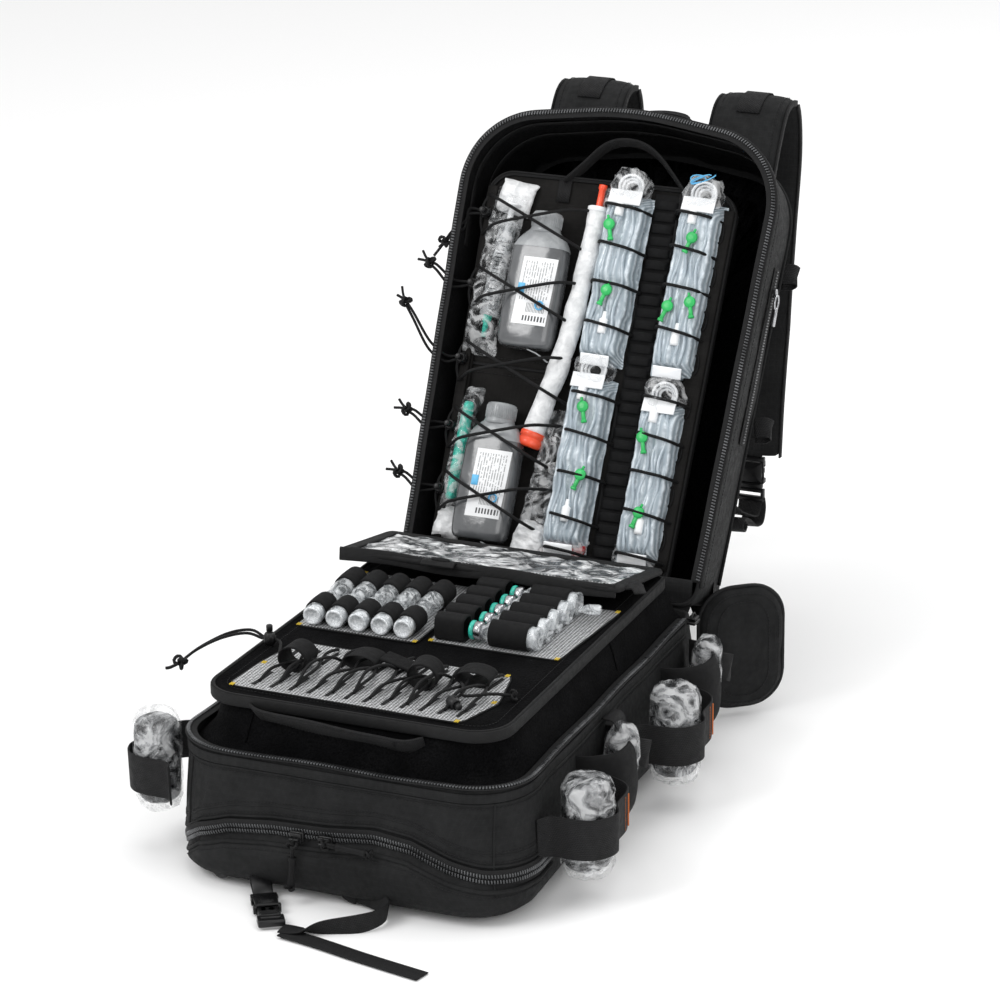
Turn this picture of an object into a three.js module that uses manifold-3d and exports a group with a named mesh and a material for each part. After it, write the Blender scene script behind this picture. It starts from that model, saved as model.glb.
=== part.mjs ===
// A trauma backpack that opens flat like a clamshell: the front half lies on its face, the
// back half leans open at the hinge and carries the organiser insert. Millimetres, +Z up,
// +Y towards the clamshell hinge, +X to the right. The origin is the middle of the base.
import * as THREE from 'three';
import { mergeVertices } from 'three/addons/utils/BufferGeometryUtils.js';
import Module from 'manifold-3d';

const wasm = await Module();
wasm.setup();

// ---- driving dimensions -------------------------------------------------------------
const TOP_HALF_WIDTH = 168; // half width of both mouths at the pack's top end
const HINGE_HALF_WIDTH = 156; // half width of both mouths at the hinge
const LENGTH = 480; // lower half, front edge to hinge
const ZIP_HEIGHT = 128; // main zip's plane on the lower half, above the floor
const UPPER_LENGTH = 462; // upper half, hinge to its corners
const UPPER_CROWN = 22; // how far the middle of its top edge stands above the corners
const UPPER_DEPTH = 116; // upper half's tray, mouth to back
const BACK_TAPER = 14; // how far the tray's sides draw in towards the back
const LEAN = 28; // degrees that the open upper half leans past upright
const WALL = 4;
const GAP = 0.3; // between neighbours that touch
const POCKET_HEIGHT = 40; // front pocket, under the lower half
const FLAP_TOP = 172; // top face of the flap panel
const LINER_NECK = 129; // where the liner passes up into the closed upper half
const FLAP_THICKNESS = 10;
const INSERT_DEPTH = 22; // insert's front face behind the upper mouth
const INSERT_THICKNESS = 5;
const VIAL_RADIUS = 11.5;
const VIAL_LENGTH = 68;
const VIAL_COUNT = 5;
const AMPOULE_RADIUS = 9.8;
const AMPOULE_COUNT = 5;
const STRAP_WIDTH = 80; // shoulder straps
const STRAP_THICKNESS = 13;
const STRAP_X = { right: 74, left: -100 }; // the left strap leans outwards as it hangs
const BUCKLE_Y = 620; // where both harness buckles hang, behind the pack
const BUCKLE_Z = 152; // top of the buckle sockets

const HINGE_Y = LENGTH / 2 - 3;
const HINGE_Z = ZIP_HEIGHT + 2;
const FRONT_Y = -LENGTH / 2;
const FLAP_BOTTOM = FLAP_TOP - FLAP_THICKNESS;

// ---- colours ------------------------------------------------------------------------
const finish = (color, roughness, metalness = 0, opacity = 1) => ({ color, roughness, metalness, opacity });
const NYLON = finish(0x17181a, 0.85);
const VELOUR = finish(0x0e0f11, 1);
const WEBBING = finish(0x131416, 0.8);
const PLASTIC = finish(0x101113, 0.45);
const CLEAR = finish(0xdde6ea, 0.15, 0, 0.5);
const BOTTLE = finish(0x8f969b, 0.25, 0, 0.6);
const PAPER = finish(0xe8eaeb, 0.7);
const BLISTER = finish(0xc8dbe6, 0.25, 0, 0.6);
const TEAL = finish(0x18a88c, 0.5);
const WRAPPED = finish(0x6f7376, 0.3);

const group = new THREE.Group();
group.name = 'trauma_backpack';

// Everything on the upper half is placed in its own frame: x across, y up the pack from
// the hinge, z out of its mouth.
const upper = new THREE.Group();
upper.position.set(0, HINGE_Y, HINGE_Z);
upper.rotation.x = THREE.MathUtils.degToRad(90 - LEAN);
group.add(upper);

/** Adds a named mesh with its own material to a parent group. */
function add(parent, name, geometry, look) {
  const material = new THREE.MeshStandardMaterial({
    color: look.color,
    roughness: look.roughness,
    metalness: look.metalness,
    transparent: look.opacity < 1,
    opacity: look.opacity,
  });
  const mesh = new THREE.Mesh(geometry, material);
  mesh.name = name;
  parent.add(mesh);
  return mesh;
}

/** Rounds each corner of a counter-clockwise polygon with an arc of its own radius. */
function rounded(corners, radii, steps = 6) {
  const points = [];
  corners.forEach(([x, y], i) => {
    const corner = new THREE.Vector2(x, y);
    const before = new THREE.Vector2(...corners[(i + corners.length - 1) % corners.length]).sub(corner).normalize();
    const after = new THREE.Vector2(...corners[(i + 1) % corners.length]).sub(corner).normalize();
    const half = Math.acos(before.dot(after)) / 2;
    const reach = radii[i] / Math.tan(half);
    const bisector = before.clone().add(after).normalize();
    const centre = corner.clone().addScaledVector(bisector, radii[i] / Math.sin(half));
    const from = corner.clone().addScaledVector(before, reach).sub(centre);
    const turn = Math.PI - 2 * half;
    for (let k = 0; k <= steps; k += 1) {
      points.push(from.clone().rotateAround(new THREE.Vector2(), (turn * k) / steps).add(centre));
    }
  });
  return points;
}

/** Joins rings of equal length into a closed solid, capped at both ends or closed in a loop. */
function loft(rings, closed = false) {
  const count = rings[0].length;
  const vertices = rings.flat().flatMap((p) => [p.x, p.y, p.z]);
  const index = [];
  const spans = closed ? rings.length : rings.length - 1;
  for (let r = 0; r < spans; r += 1) {
    const low = r * count;
    const high = ((r + 1) % rings.length) * count;
    for (let i = 0; i < count; i += 1) {
      const j = (i + 1) % count;
      index.push(low + i, low + j, high + j, low + i, high + j, high + i);
    }
  }
  if (!closed) {
    for (const [ring, start, flip] of [[rings[0], 0, true], [rings.at(-1), (rings.length - 1) * count, false]]) {
      const centre = new THREE.Vector3();
      ring.forEach((p) => centre.addScaledVector(p, 1 / count));
      const hub = vertices.length / 3;
      vertices.push(centre.x, centre.y, centre.z);
      for (let i = 0; i < count; i += 1) {
        const j = (i + 1) % count;
        index.push(hub, start + (flip ? j : i), start + (flip ? i : j));
      }
    }
  }
  const geometry = new THREE.BufferGeometry();
  geometry.setAttribute('position', new THREE.Float32BufferAttribute(vertices, 3));
  geometry.setIndex(index);
  return outward(geometry);
}

/** Turns a closed geometry's faces outwards if its enclosed volume comes out negative. */
function outward(geometry) {
  const p = geometry.attributes.position;
  const index = geometry.index.array;
  const [a, b, c] = [new THREE.Vector3(), new THREE.Vector3(), new THREE.Vector3()];
  let volume = 0;
  for (let i = 0; i < index.length; i += 3) {
    a.fromBufferAttribute(p, index[i]);
    b.fromBufferAttribute(p, index[i + 1]);
    c.fromBufferAttribute(p, index[i + 2]);
    volume += a.dot(b.cross(c));
  }
  if (volume < 0) {
    for (let i = 0; i < index.length; i += 3) [index[i], index[i + 1]] = [index[i + 1], index[i]];
  }
  return geometry;
}

/** Lifts a flat outline to height z. */
const ringAt = (outline, z) => outline.map((p) => new THREE.Vector3(p.x, p.y, z));

/** A solid from a list of [outline, height] levels. */
const stack = (levels, closed = false) => loft(levels.map(([outline, z]) => ringAt(outline, z)), closed);

/** A round-cornered rectangle about (x, y). */
function pad(x, y, width, height, radius, steps = 3) {
  const [w, h] = [width / 2, height / 2];
  const corners = [[x - w, y - h], [x + w, y - h], [x + w, y + h], [x - w, y + h]];
  return rounded(corners, [radius, radius, radius, radius], steps);
}

/** Lower half's outline, drawn in by an inset all round. */
function lowerOutline(inset) {
  const front = TOP_HALF_WIDTH - inset;
  const back = HINGE_HALF_WIDTH - inset;
  const [y0, y1] = [FRONT_Y + inset, -FRONT_Y - inset];
  const radius = Math.max(54 - inset, 6);
  const rear = Math.max(18 - inset * 0.6, 4);
  return rounded([[-front, y0], [front, y0], [back, y1], [-back, y1]], [radius, radius, rear, rear]);
}

/** Outline of the liner above the zip: rounder in front, so that the closed upper half clears it. */
function neckOutline(inset, radius) {
  const front = TOP_HALF_WIDTH - inset;
  const back = HINGE_HALF_WIDTH - inset;
  const [y0, y1] = [FRONT_Y + inset + 4, -FRONT_Y - inset];
  return rounded([[-front, y0], [front, y0], [back, y1], [-back, y1]], [radius, radius, 8, 8]);
}

/** Upper half's outline in its own frame, drawn in by an inset all round. */
function upperOutline(inset) {
  const top = TOP_HALF_WIDTH - inset;
  const hinge = HINGE_HALF_WIDTH - inset;
  const end = UPPER_LENGTH - inset;
  const crown = end + UPPER_CROWN;
  const corner = Math.max(78 - inset, 8);
  const foot = Math.max(18 - inset * 0.6, 4);
  const corners = [[-hinge, inset], [hinge, inset], [top, end], [0, crown], [-top, end]];
  return rounded(corners, [foot, foot, corner, 300, corner]);
}

/** A strap whose side view follows a smooth curve in the Y-Z plane, extruded across X. */
function strap(route, thickness, width, steps = 24) {
  const curve = new THREE.SplineCurve(route.map(([y, z]) => new THREE.Vector2(y, z)));
  const points = curve.getSpacedPoints(steps);
  const side = (sign) => points.map((p, i) => {
    const ahead = points[Math.min(i + 1, steps)].clone().sub(points[Math.max(i - 1, 0)]).normalize();
    return new THREE.Vector2(p.x - ahead.y * sign, p.y + ahead.x * sign);
  });
  const shape = new THREE.Shape(side(thickness / 2).concat(side(-thickness / 2).reverse()));
  const geometry = new THREE.ExtrudeGeometry(shape, { depth: width, bevelEnabled: false });
  geometry.applyMatrix4(new THREE.Matrix4().makeBasis(
    new THREE.Vector3(0, 1, 0),
    new THREE.Vector3(0, 0, 1),
    new THREE.Vector3(1, 0, 0),
  ));
  return geometry.translate(-width / 2, 0, 0);
}

/** A flat ribbon lying in the X-Y plane along a smooth curve. */
function floorRibbon(route, width, thickness, steps = 20) {
  const curve = new THREE.SplineCurve(route.map(([x, y]) => new THREE.Vector2(x, y)));
  const points = curve.getSpacedPoints(steps);
  const side = (sign) => points.map((p, i) => {
    const ahead = points[Math.min(i + 1, steps)].clone().sub(points[Math.max(i - 1, 0)]).normalize();
    return new THREE.Vector2(p.x - ahead.y * sign, p.y + ahead.x * sign);
  });
  const shape = new THREE.Shape(side(width / 2).concat(side(-width / 2).reverse()));
  return new THREE.ExtrudeGeometry(shape, { depth: thickness, bevelEnabled: false });
}

/** A turned solid about z, from [radius, height] points that start and end on its axis. */
function turned(profile, segments = 14) {
  const points = profile.map(([r, z]) => new THREE.Vector2(r, z));
  return new THREE.LatheGeometry(points, segments).rotateX(Math.PI / 2);
}

/** Lays a solid built upwards along a board: its height runs up the board, its depth off it. */
const LAID = new THREE.Matrix4().makeBasis(
  new THREE.Vector3(-1, 0, 0),
  new THREE.Vector3(0, 0, 1),
  new THREE.Vector3(0, 1, 0),
);

/** Hands a closed geometry to the solid library. */
function toSolid(geometry) {
  const bare = geometry.clone();
  bare.deleteAttribute('normal');
  bare.deleteAttribute('uv');
  const merged = mergeVertices(bare, 1e-4);
  return new wasm.Manifold(new wasm.Mesh({
    numProp: 3,
    vertProperties: new Float32Array(merged.attributes.position.array),
    triVerts: new Uint32Array(merged.index.array),
  }));
}

/** Brings a solid back as a geometry. */
function fromSolid(solid) {
  const mesh = solid.getMesh();
  const geometry = new THREE.BufferGeometry();
  geometry.setAttribute('position', new THREE.Float32BufferAttribute(mesh.vertProperties, 3));
  geometry.setIndex([...mesh.triVerts]);
  return geometry;
}

const joined = (...parts) => fromSolid(parts.map(toSolid).reduce((a, b) => a.add(b)));
const cut = (base, ...tools) => fromSolid(tools.map(toSolid).reduce((a, b) => a.subtract(b), toSolid(base)));

/** A box between two corners. */
function box(low, high) {
  const size = high.map((v, i) => v - low[i]);
  const middle = high.map((v, i) => (v + low[i]) / 2);
  return new THREE.BoxGeometry(...size).translate(...middle);
}

// ---- lower half ---------------------------------------------------------------------
function lowerHalf() {
  add(group, 'front_pocket', stack([
    [lowerOutline(16), 0],
    [lowerOutline(0), 8],
    [lowerOutline(-6), POCKET_HEIGHT - GAP],
    [lowerOutline(-2), POCKET_HEIGHT - GAP],
    [lowerOutline(5), WALL],
  ]), NYLON);
  const rim = ZIP_HEIGHT - 2;
  add(group, 'lower_shell', stack([
    [lowerOutline(-6), POCKET_HEIGHT],
    [lowerOutline(-3), POCKET_HEIGHT + 30],
    [lowerOutline(0), rim],
    [lowerOutline(WALL), rim],
    [lowerOutline(WALL), POCKET_HEIGHT + WALL],
  ]), NYLON);
  const floor = POCKET_HEIGHT + WALL + GAP;
  add(group, 'compartment_liner', stack([
    [lowerOutline(6), floor],
    [lowerOutline(6), rim - 10],
    [neckOutline(14, 66), LINER_NECK],
    [neckOutline(22, 60), FLAP_BOTTOM - GAP],
    [neckOutline(30, 52), FLAP_BOTTOM - GAP],
    [neckOutline(22, 58), LINER_NECK],
    [lowerOutline(14), rim - 10],
    [lowerOutline(12), floor],
  ], true), VELOUR);
}

// ---- zip sliders --------------------------------------------------------------------
/** A slider body with a puller tab, its long side along x. */
function sliderShape() {
  const body = stack([[pad(0, 0, 13, 9, 2), -4.5], [pad(0, 0, 13, 9, 2), 4.5]]);
  const bridge = box([-4, -6.5, -1.5], [4, -3.5, 1.5]);
  return joined(body, bridge);
}

function sliders() {
  for (const [name, side] of [['main_slider_right', 1], ['main_slider_left', -1]]) {
    const slider = add(group, name, sliderShape(), PLASTIC);
    const half = HINGE_HALF_WIDTH + (TOP_HALF_WIDTH - HINGE_HALF_WIDTH) * 0.06;
    slider.position.set(side * (half + 7.5), HINGE_Y - 26, ZIP_HEIGHT - 1);
    slider.rotation.z = side * Math.PI / 2;
  }
  const pocketZip = POCKET_HEIGHT + 22;
  for (const [name, x] of [['pocket_slider_left', -34], ['pocket_slider_right', -6]]) {
    add(group, name, sliderShape(), PLASTIC).position.set(x, FRONT_Y - 11.5, pocketZip);
  }
  const pull = (length) => turned([[0, 0], [2.4, 1], [3.2, 8], [3.2, length - 8], [2.4, length - 1], [0, length]], 10);
  const hanging = add(group, 'pocket_pull_left', pull(52), PLASTIC);
  hanging.rotation.x = Math.PI;
  hanging.position.set(-34, FRONT_Y - 22, pocketZip + 2);
  const lying = add(group, 'pocket_pull_right', pull(50), PLASTIC);
  lying.rotation.y = Math.PI / 2;
  lying.position.set(-6, FRONT_Y - 22, pocketZip + 2);
}

// ---- flap panel with its instruments -------------------------------------------------
function flap() {
  const outline = (inset) => rounded(
    [[-146 + inset, -216 + inset], [146 + inset * -1, -216 + inset], [140 - inset, 202 - inset], [-140 + inset, 202 - inset]],
    [34, 34, 8, 8],
  );
  add(group, 'flap_panel', stack([
    [outline(2), FLAP_BOTTOM],
    [outline(0), FLAP_BOTTOM + 3],
    [outline(0), FLAP_TOP - 3],
    [outline(2), FLAP_TOP],
  ]), VELOUR);
  const handle = strap([[-217.5, 163], [-222, 160], [-225, 154], [-225.5, 150]], 2, 132, 8);
  add(group, 'flap_handle', handle, WEBBING).position.x = -12;

  const seat = FLAP_TOP + GAP;
  const sheet = stack([[pad(-6, -142, 232, 118, 6), seat], [pad(-6, -142, 232, 118, 6), seat + 1.2]]);
  const loops = [[-84, -140, 14], [41, -136, 14], [-30, -112, 9], [72, -106, 9]].map(([x, y, r]) => {
    const ring = (radius) => rounded([[-radius, 0], [radius, 0], [radius, 1.7 * radius], [-radius, 1.7 * radius]], Array(4).fill(radius * 0.8), 4);
    const section = new THREE.Shape(ring(r));
    section.holes.push(new THREE.Path(ring(r - 2).map((p) => new THREE.Vector2(p.x, p.y + 1.7)).reverse()));
    const loop = new THREE.ExtrudeGeometry(section, { depth: 22, bevelEnabled: false });
    return loop.rotateX(Math.PI / 2).translate(x, y + 11, seat + 0.8);
  });
  add(group, 'instrument_loops', joined(sheet, ...loops), WEBBING);

  const strip = stack([[pad(-71, 30, 122, 150, 4), seat], [pad(-71, 30, 122, 150, 4), seat + 1.2]]);
  const ampoules = Array.from({ length: AMPOULE_COUNT }, (_, i) => {
    const r = AMPOULE_RADIUS;
    const body = turned([[0, 0], [r - 2, 0], [r, 2], [r, 44], [r * 0.7, 48], [r * 0.7, 52], [r, 56], [r, 92], [r - 2, 96], [0, 96]], 12);
    return body.rotateX(-Math.PI / 2).translate(-117 + 23 * i, -42, seat + 0.6 + r);
  });
  add(group, 'ampoule_row', joined(strip, ...ampoules), CLEAR);

  for (let i = 0; i < VIAL_COUNT; i += 1) {
    const r = VIAL_RADIUS;
    const profile = [[0, 0], [r - 3, 0], [r - 3, 8], [r - 5, 9], [r - 5, 13], [r, 18], [r, VIAL_LENGTH], [0, VIAL_LENGTH]];
    const vial = add(group, `vial_${i + 1}`, turned(profile, 14), CLEAR);
    vial.rotation.set(0, Math.PI / 2, 0);
    vial.position.set(36, -22 + 24 * i, seat + 1.5 + r);
  }
}

// ---- clear window pouch over the rear of the flap ------------------------------------
function windowPouch() {
  const outline = pad(0, 61, 280, 116, 6);
  const pouch = stack([[outline, 0], [outline, 4]]);
  const mesh = add(group, 'window_pouch', pouch, CLEAR);
  mesh.position.set(-6, 205, FLAP_TOP + 5);
  mesh.rotation.x = Math.PI - THREE.MathUtils.degToRad(10.5);
}

// ---- cord locks ---------------------------------------------------------------------
/** A barrel-shaped cord lock body with its button on top, both about the z axis. */
function cordLock(parent, name, x, y, z) {
  const barrel = turned([[0, 0], [4, 0], [5.5, 3], [5.5, 9], [4, 12], [0, 12]], 12);
  add(parent, name, barrel, PLASTIC).position.set(x, y, z);
  const button = turned([[0, 0], [3.2, 0], [3.2, 3.6], [2.4, 4.6], [0, 4.6]], 10);
  add(parent, `${name}_button`, button, PLASTIC).position.set(x, y, z + 12 + 3.4);
}

// ---- organiser insert ---------------------------------------------------------------
function insert() {
  const face = -INSERT_DEPTH;
  const outline = (inset) => rounded(
    [[-136 + inset, 20 + inset], [116 - inset, 20 + inset], [122 - inset, 412 - inset], [-144 + inset, 412 - inset]],
    [10, 10, 26, 26],
  );
  const board = stack([[outline(1), face - INSERT_THICKNESS], [outline(0), face]]);
  const seat = face + GAP;

  const bottle = (width, height, depth) => {
    const body = stack([
      [pad(0, depth / 2, width - 8, depth - 6, 8), 0],
      [pad(0, depth / 2, width, depth, 12), 6],
      [pad(0, depth / 2, width, depth, 12), height * 0.72],
      [pad(0, depth / 2, width * 0.5, depth * 0.8, 9), height * 0.86],
    ]);
    const cap = turned([[0, 0], [15, 0], [15, 18], [13, 20], [0, 20]], 16);
    return joined(body, cap.translate(0, depth / 2, height * 0.84)).applyMatrix4(LAID);
  };
  for (const [name, x, y, tilt] of [['bottle_upper', -68, 232, 0], ['bottle_lower', -80, 36, 0]]) {
    const mesh = add(upper, name, bottle(59, 140, 33), BOTTLE);
    mesh.rotation.z = THREE.MathUtils.degToRad(tilt);
    mesh.position.set(x, y, seat);
  }

  /** A soft pack lying on the board from one end to the other. */
  const pack = (name, [x0, y0], [x1, y1], width, depth, look) => {
    const length = Math.hypot(x1 - x0, y1 - y0);
    const middle = pad(0, depth / 2, width, depth, Math.min(width, depth) * 0.45);
    const end = pad(0, depth / 2, width * 0.8, depth * 0.4, Math.min(width, depth) * 0.19);
    const body = stack([[end, 0], [middle, length * 0.12], [middle, length * 0.88], [end, length]]);
    const mesh = add(upper, name, body.applyMatrix4(LAID), look);
    mesh.rotation.z = Math.atan2(-(x1 - x0), y1 - y0);
    mesh.position.set(x0, y0, seat);
  };
  pack('syringe_pack', [-116, 226], [-114, 398], 29, 24, CLEAR);
  pack('teal_pack', [-120, 50], [-118, 190], 12, 20, TEAL);
  pack('drain_tube', [-31, 150], [-18, 382], 19, 22, PAPER);
  pack('infusion_set_1', [9, 226], [13, 404], 38, 26, BLISTER);
  pack('infusion_set_2', [6, 28], [8, 218], 38, 26, BLISTER);
  pack('infusion_set_3', [86, 222], [90, 404], 38, 26, BLISTER);
  pack('infusion_set_4', [84, 30], [86, 214], 38, 26, BLISTER);

  const handleRing = (inset) => rounded(
    [[-62 + inset, 404 + inset], [68 - inset, 404 + inset], [14, 452 - inset * 1.4], [-30, 452 - inset * 1.4]],
    [3, 3, 14, 14],
    3,
  );
  const loop = new THREE.Shape(handleRing(0));
  loop.holes.push(new THREE.Path(handleRing(9).reverse()));
  const handle = new THREE.ExtrudeGeometry(loop, { depth: 2, bevelEnabled: false });
  handle.translate(0, 0, face - 3);
  add(upper, 'insert_board', joined(board, handle), VELOUR);

  [366, 292, 216, 148, 84].forEach((y, i) => {
    cordLock(upper, `cord_lock_${i + 1}`, -130.5 - y * 0.02, y, seat + 4);
  });
}

// ---- upper half ---------------------------------------------------------------------
function upperHalf() {
  const back = -UPPER_DEPTH;
  add(upper, 'upper_shell', stack([
    [upperOutline(BACK_TAPER + 10), back],
    [upperOutline(BACK_TAPER), back + 10],
    [upperOutline(0), -2],
    [upperOutline(WALL), -2],
    [upperOutline(BACK_TAPER + WALL), back + WALL],
  ]), NYLON);
  add(upper, 'back_pad', stack([
    [upperOutline(BACK_TAPER + 18), back - GAP],
    [upperOutline(BACK_TAPER + 16), back - 8],
    [upperOutline(BACK_TAPER + 24), back - 13],
  ]), NYLON);
  const rear = back - 13;

  /** Turns up-the-pack and out-of-the-mouth into the object's own y and z. */
  const level = ([u, w]) => {
    const point = new THREE.Vector3(0, u, w).applyEuler(upper.rotation).add(upper.position);
    return [point.y, point.z];
  };
  const shoulder = strap([
    level([430, rear - 8]), level([492, rear - 8]), level([530, rear - 16]), level([540, rear - 44]), [652, 475],
    [638, 395], [624, 303], [BUCKLE_Y - 1, 220], [BUCKLE_Y, BUCKLE_Z + 2],
  ], STRAP_THICKNESS, STRAP_WIDTH, 26);
  const webbing = strap([
    [BUCKLE_Y, BUCKLE_Z - 52], [BUCKLE_Y - 8, BUCKLE_Z - 62], [BUCKLE_Y - 50, BUCKLE_Z - 44],
    [BUCKLE_Y - 110, BUCKLE_Z - 16], level([64, rear - 3]),
  ], 2, 25, 14);
  for (const [side, sign] of [['right', 1], ['left', -1]]) {
    const arm = add(group, `shoulder_strap_${side}`, shoulder.clone(), NYLON);
    arm.position.x = STRAP_X[side];
    const web = add(group, `harness_webbing_${side}`, webbing.clone(), WEBBING);
    web.position.x = STRAP_X[side];
    const socket = cut(
      box([-15, -6, -28], [15, 6, 0]),
      box([-10, -3.5, -29], [10, 3.5, -10]),
    );
    add(group, `harness_socket_${side}`, socket, PLASTIC).position.set(STRAP_X[side], BUCKLE_Y, BUCKLE_Z);
    const plug = joined(
      box([-15, -6, -47], [15, 6, -28.3]),
      box([-9, -3, -29], [9, 3, -12]),
    );
    add(group, `harness_plug_${side}`, plug, PLASTIC).position.set(STRAP_X[side], BUCKLE_Y, BUCKLE_Z);

    const fin = stack([
      [pad(0, 0, 78, 116, 28), -8],
      [pad(0, 0, 86, 124, 32), -3],
      [pad(0, 0, 86, 124, 32), 3],
      [pad(0, 0, 78, 116, 28), 8],
    ]);
    const hip = add(group, `hip_pad_${side}`, fin, NYLON);
    hip.rotation.order = 'ZXY';
    hip.rotation.x = Math.PI / 2;
    hip.rotation.z = sign * THREE.MathUtils.degToRad(40);
    hip.position.set(sign * 181, HINGE_Y + 64, 71);
  }
  const arch = (half, foot, top, radius) => rounded(
    [[-half, foot], [half, foot], [half - 6, top], [6 - half, top]],
    [1, 1, radius, radius],
    4,
  );
  const section = new THREE.Shape(arch(42, 474, 502, 12));
  section.holes.push(new THREE.Path(arch(38, 477, 499, 9).reverse()));
  const grab = new THREE.ExtrudeGeometry(section, { depth: 20, bevelEnabled: false });
  add(upper, 'grab_handle', grab, WEBBING).position.z = back + 6;
}

// ---- rolls and straps on the sides ---------------------------------------------------
function sideRolls() {
  const roll = (r, height) => turned([
    [0, 0], [r * 0.7, 2], [r, 14], [r, height - 14], [r * 0.7, height - 2], [0, height],
  ], 18);
  const places = [['right_front', 203, -150, 22, 27], ['right_rear', 201, 70, 24, 27], ['left_front', -203, -192, 38, 25]];
  for (const [name, x, y, z, r] of places) {
    add(group, `bandage_roll_${name}`, roll(r, 98), WRAPPED).position.set(x, y, z);
  }
}

function compressionStrap() {
  const direction = new THREE.Vector2(56, -84).normalize();
  const angle = Math.atan2(direction.y, direction.x);
  const socket = cut(
    box([0, -13, 0], [34, 13, 9]),
    box([14, -9, 2], [35, 9, 7]),
  );
  const plug = joined(
    box([34.4, -13, 0], [60, 13, 9]),
    box([17, -8, 2.6], [36, 8, 6.4]),
  );
  for (const [name, shape] of [['compression_socket', socket], ['compression_plug', plug]]) {
    const mesh = add(group, name, shape, PLASTIC);
    mesh.rotation.z = angle;
    mesh.position.set(-62, -266, 0.2);
  }
  const returnRun = floorRibbon([[4, -236], [40, -246], [62, -262], [56, -284], [24, -304], [-12, -320]], 18, 1.6, 20);
  const tail = floorRibbon([[-13, -320], [20, -328], [70, -340], [132, -352]], 18, 1.6, 12);
  add(group, 'compression_webbing', joined(returnRun, tail), WEBBING).position.z = 0.1;
}

lowerHalf();
sliders();
flap();
windowPouch();
upperHalf();
insert();
sideRolls();
compressionStrap();
cordLock(group, 'flap_cord_lock', -132, -100, FLAP_TOP + 2);

export default group;
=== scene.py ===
"""A trauma backpack, opened flat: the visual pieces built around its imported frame.

The lower half lies on its face with a flap of ampoules and vials over it. The upper half
leans back at the hinge and holds the organiser insert and the harness. Sizes are in
millimetres until a mesh is made, and in metres after that.
"""

from __future__ import annotations

import logging
from dataclasses import dataclass
from enum import Enum
from math import acos, copysign, cos, exp, pi, radians, sin, tan
from typing import Callable, Sequence

import bpy
from mathutils import Matrix, Vector, noise


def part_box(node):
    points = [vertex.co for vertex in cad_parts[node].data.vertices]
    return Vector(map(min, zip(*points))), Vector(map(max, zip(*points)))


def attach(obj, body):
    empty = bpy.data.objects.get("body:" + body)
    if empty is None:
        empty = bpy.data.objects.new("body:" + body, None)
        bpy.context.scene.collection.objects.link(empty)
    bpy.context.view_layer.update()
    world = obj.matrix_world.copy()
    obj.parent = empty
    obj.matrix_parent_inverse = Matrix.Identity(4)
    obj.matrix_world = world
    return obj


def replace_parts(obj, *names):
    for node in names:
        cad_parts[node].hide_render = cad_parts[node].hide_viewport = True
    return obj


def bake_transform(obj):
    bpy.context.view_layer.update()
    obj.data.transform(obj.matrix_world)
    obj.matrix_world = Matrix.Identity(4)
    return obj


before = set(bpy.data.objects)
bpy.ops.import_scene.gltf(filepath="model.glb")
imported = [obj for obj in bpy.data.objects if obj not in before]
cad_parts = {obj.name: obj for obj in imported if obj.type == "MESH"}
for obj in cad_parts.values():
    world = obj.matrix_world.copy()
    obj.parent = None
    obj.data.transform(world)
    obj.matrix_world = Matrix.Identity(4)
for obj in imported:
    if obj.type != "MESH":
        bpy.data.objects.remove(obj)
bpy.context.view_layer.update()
LOG = logging.getLogger("backpack")

MM = 0.001
CORD = 2.8
Point = Sequence[float]
Colour = tuple[float, float, float]
Aim = Vector | Callable[[int], Vector]


# ---- finishes -----------------------------------------------------------------------


class Weave(Enum):
    """The surface pattern of a finish."""

    SMOOTH = "smooth"
    CORDURA = "cordura"
    PILE = "pile"
    RIBBED = "ribbed"
    BRAID = "braid"
    CRINKLE = "crinkle"
    GRID = "grid"
    PAPER = "paper"
    LABEL = "label"
    FOIL = "foil"
    BLISTER = "blister"


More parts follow.
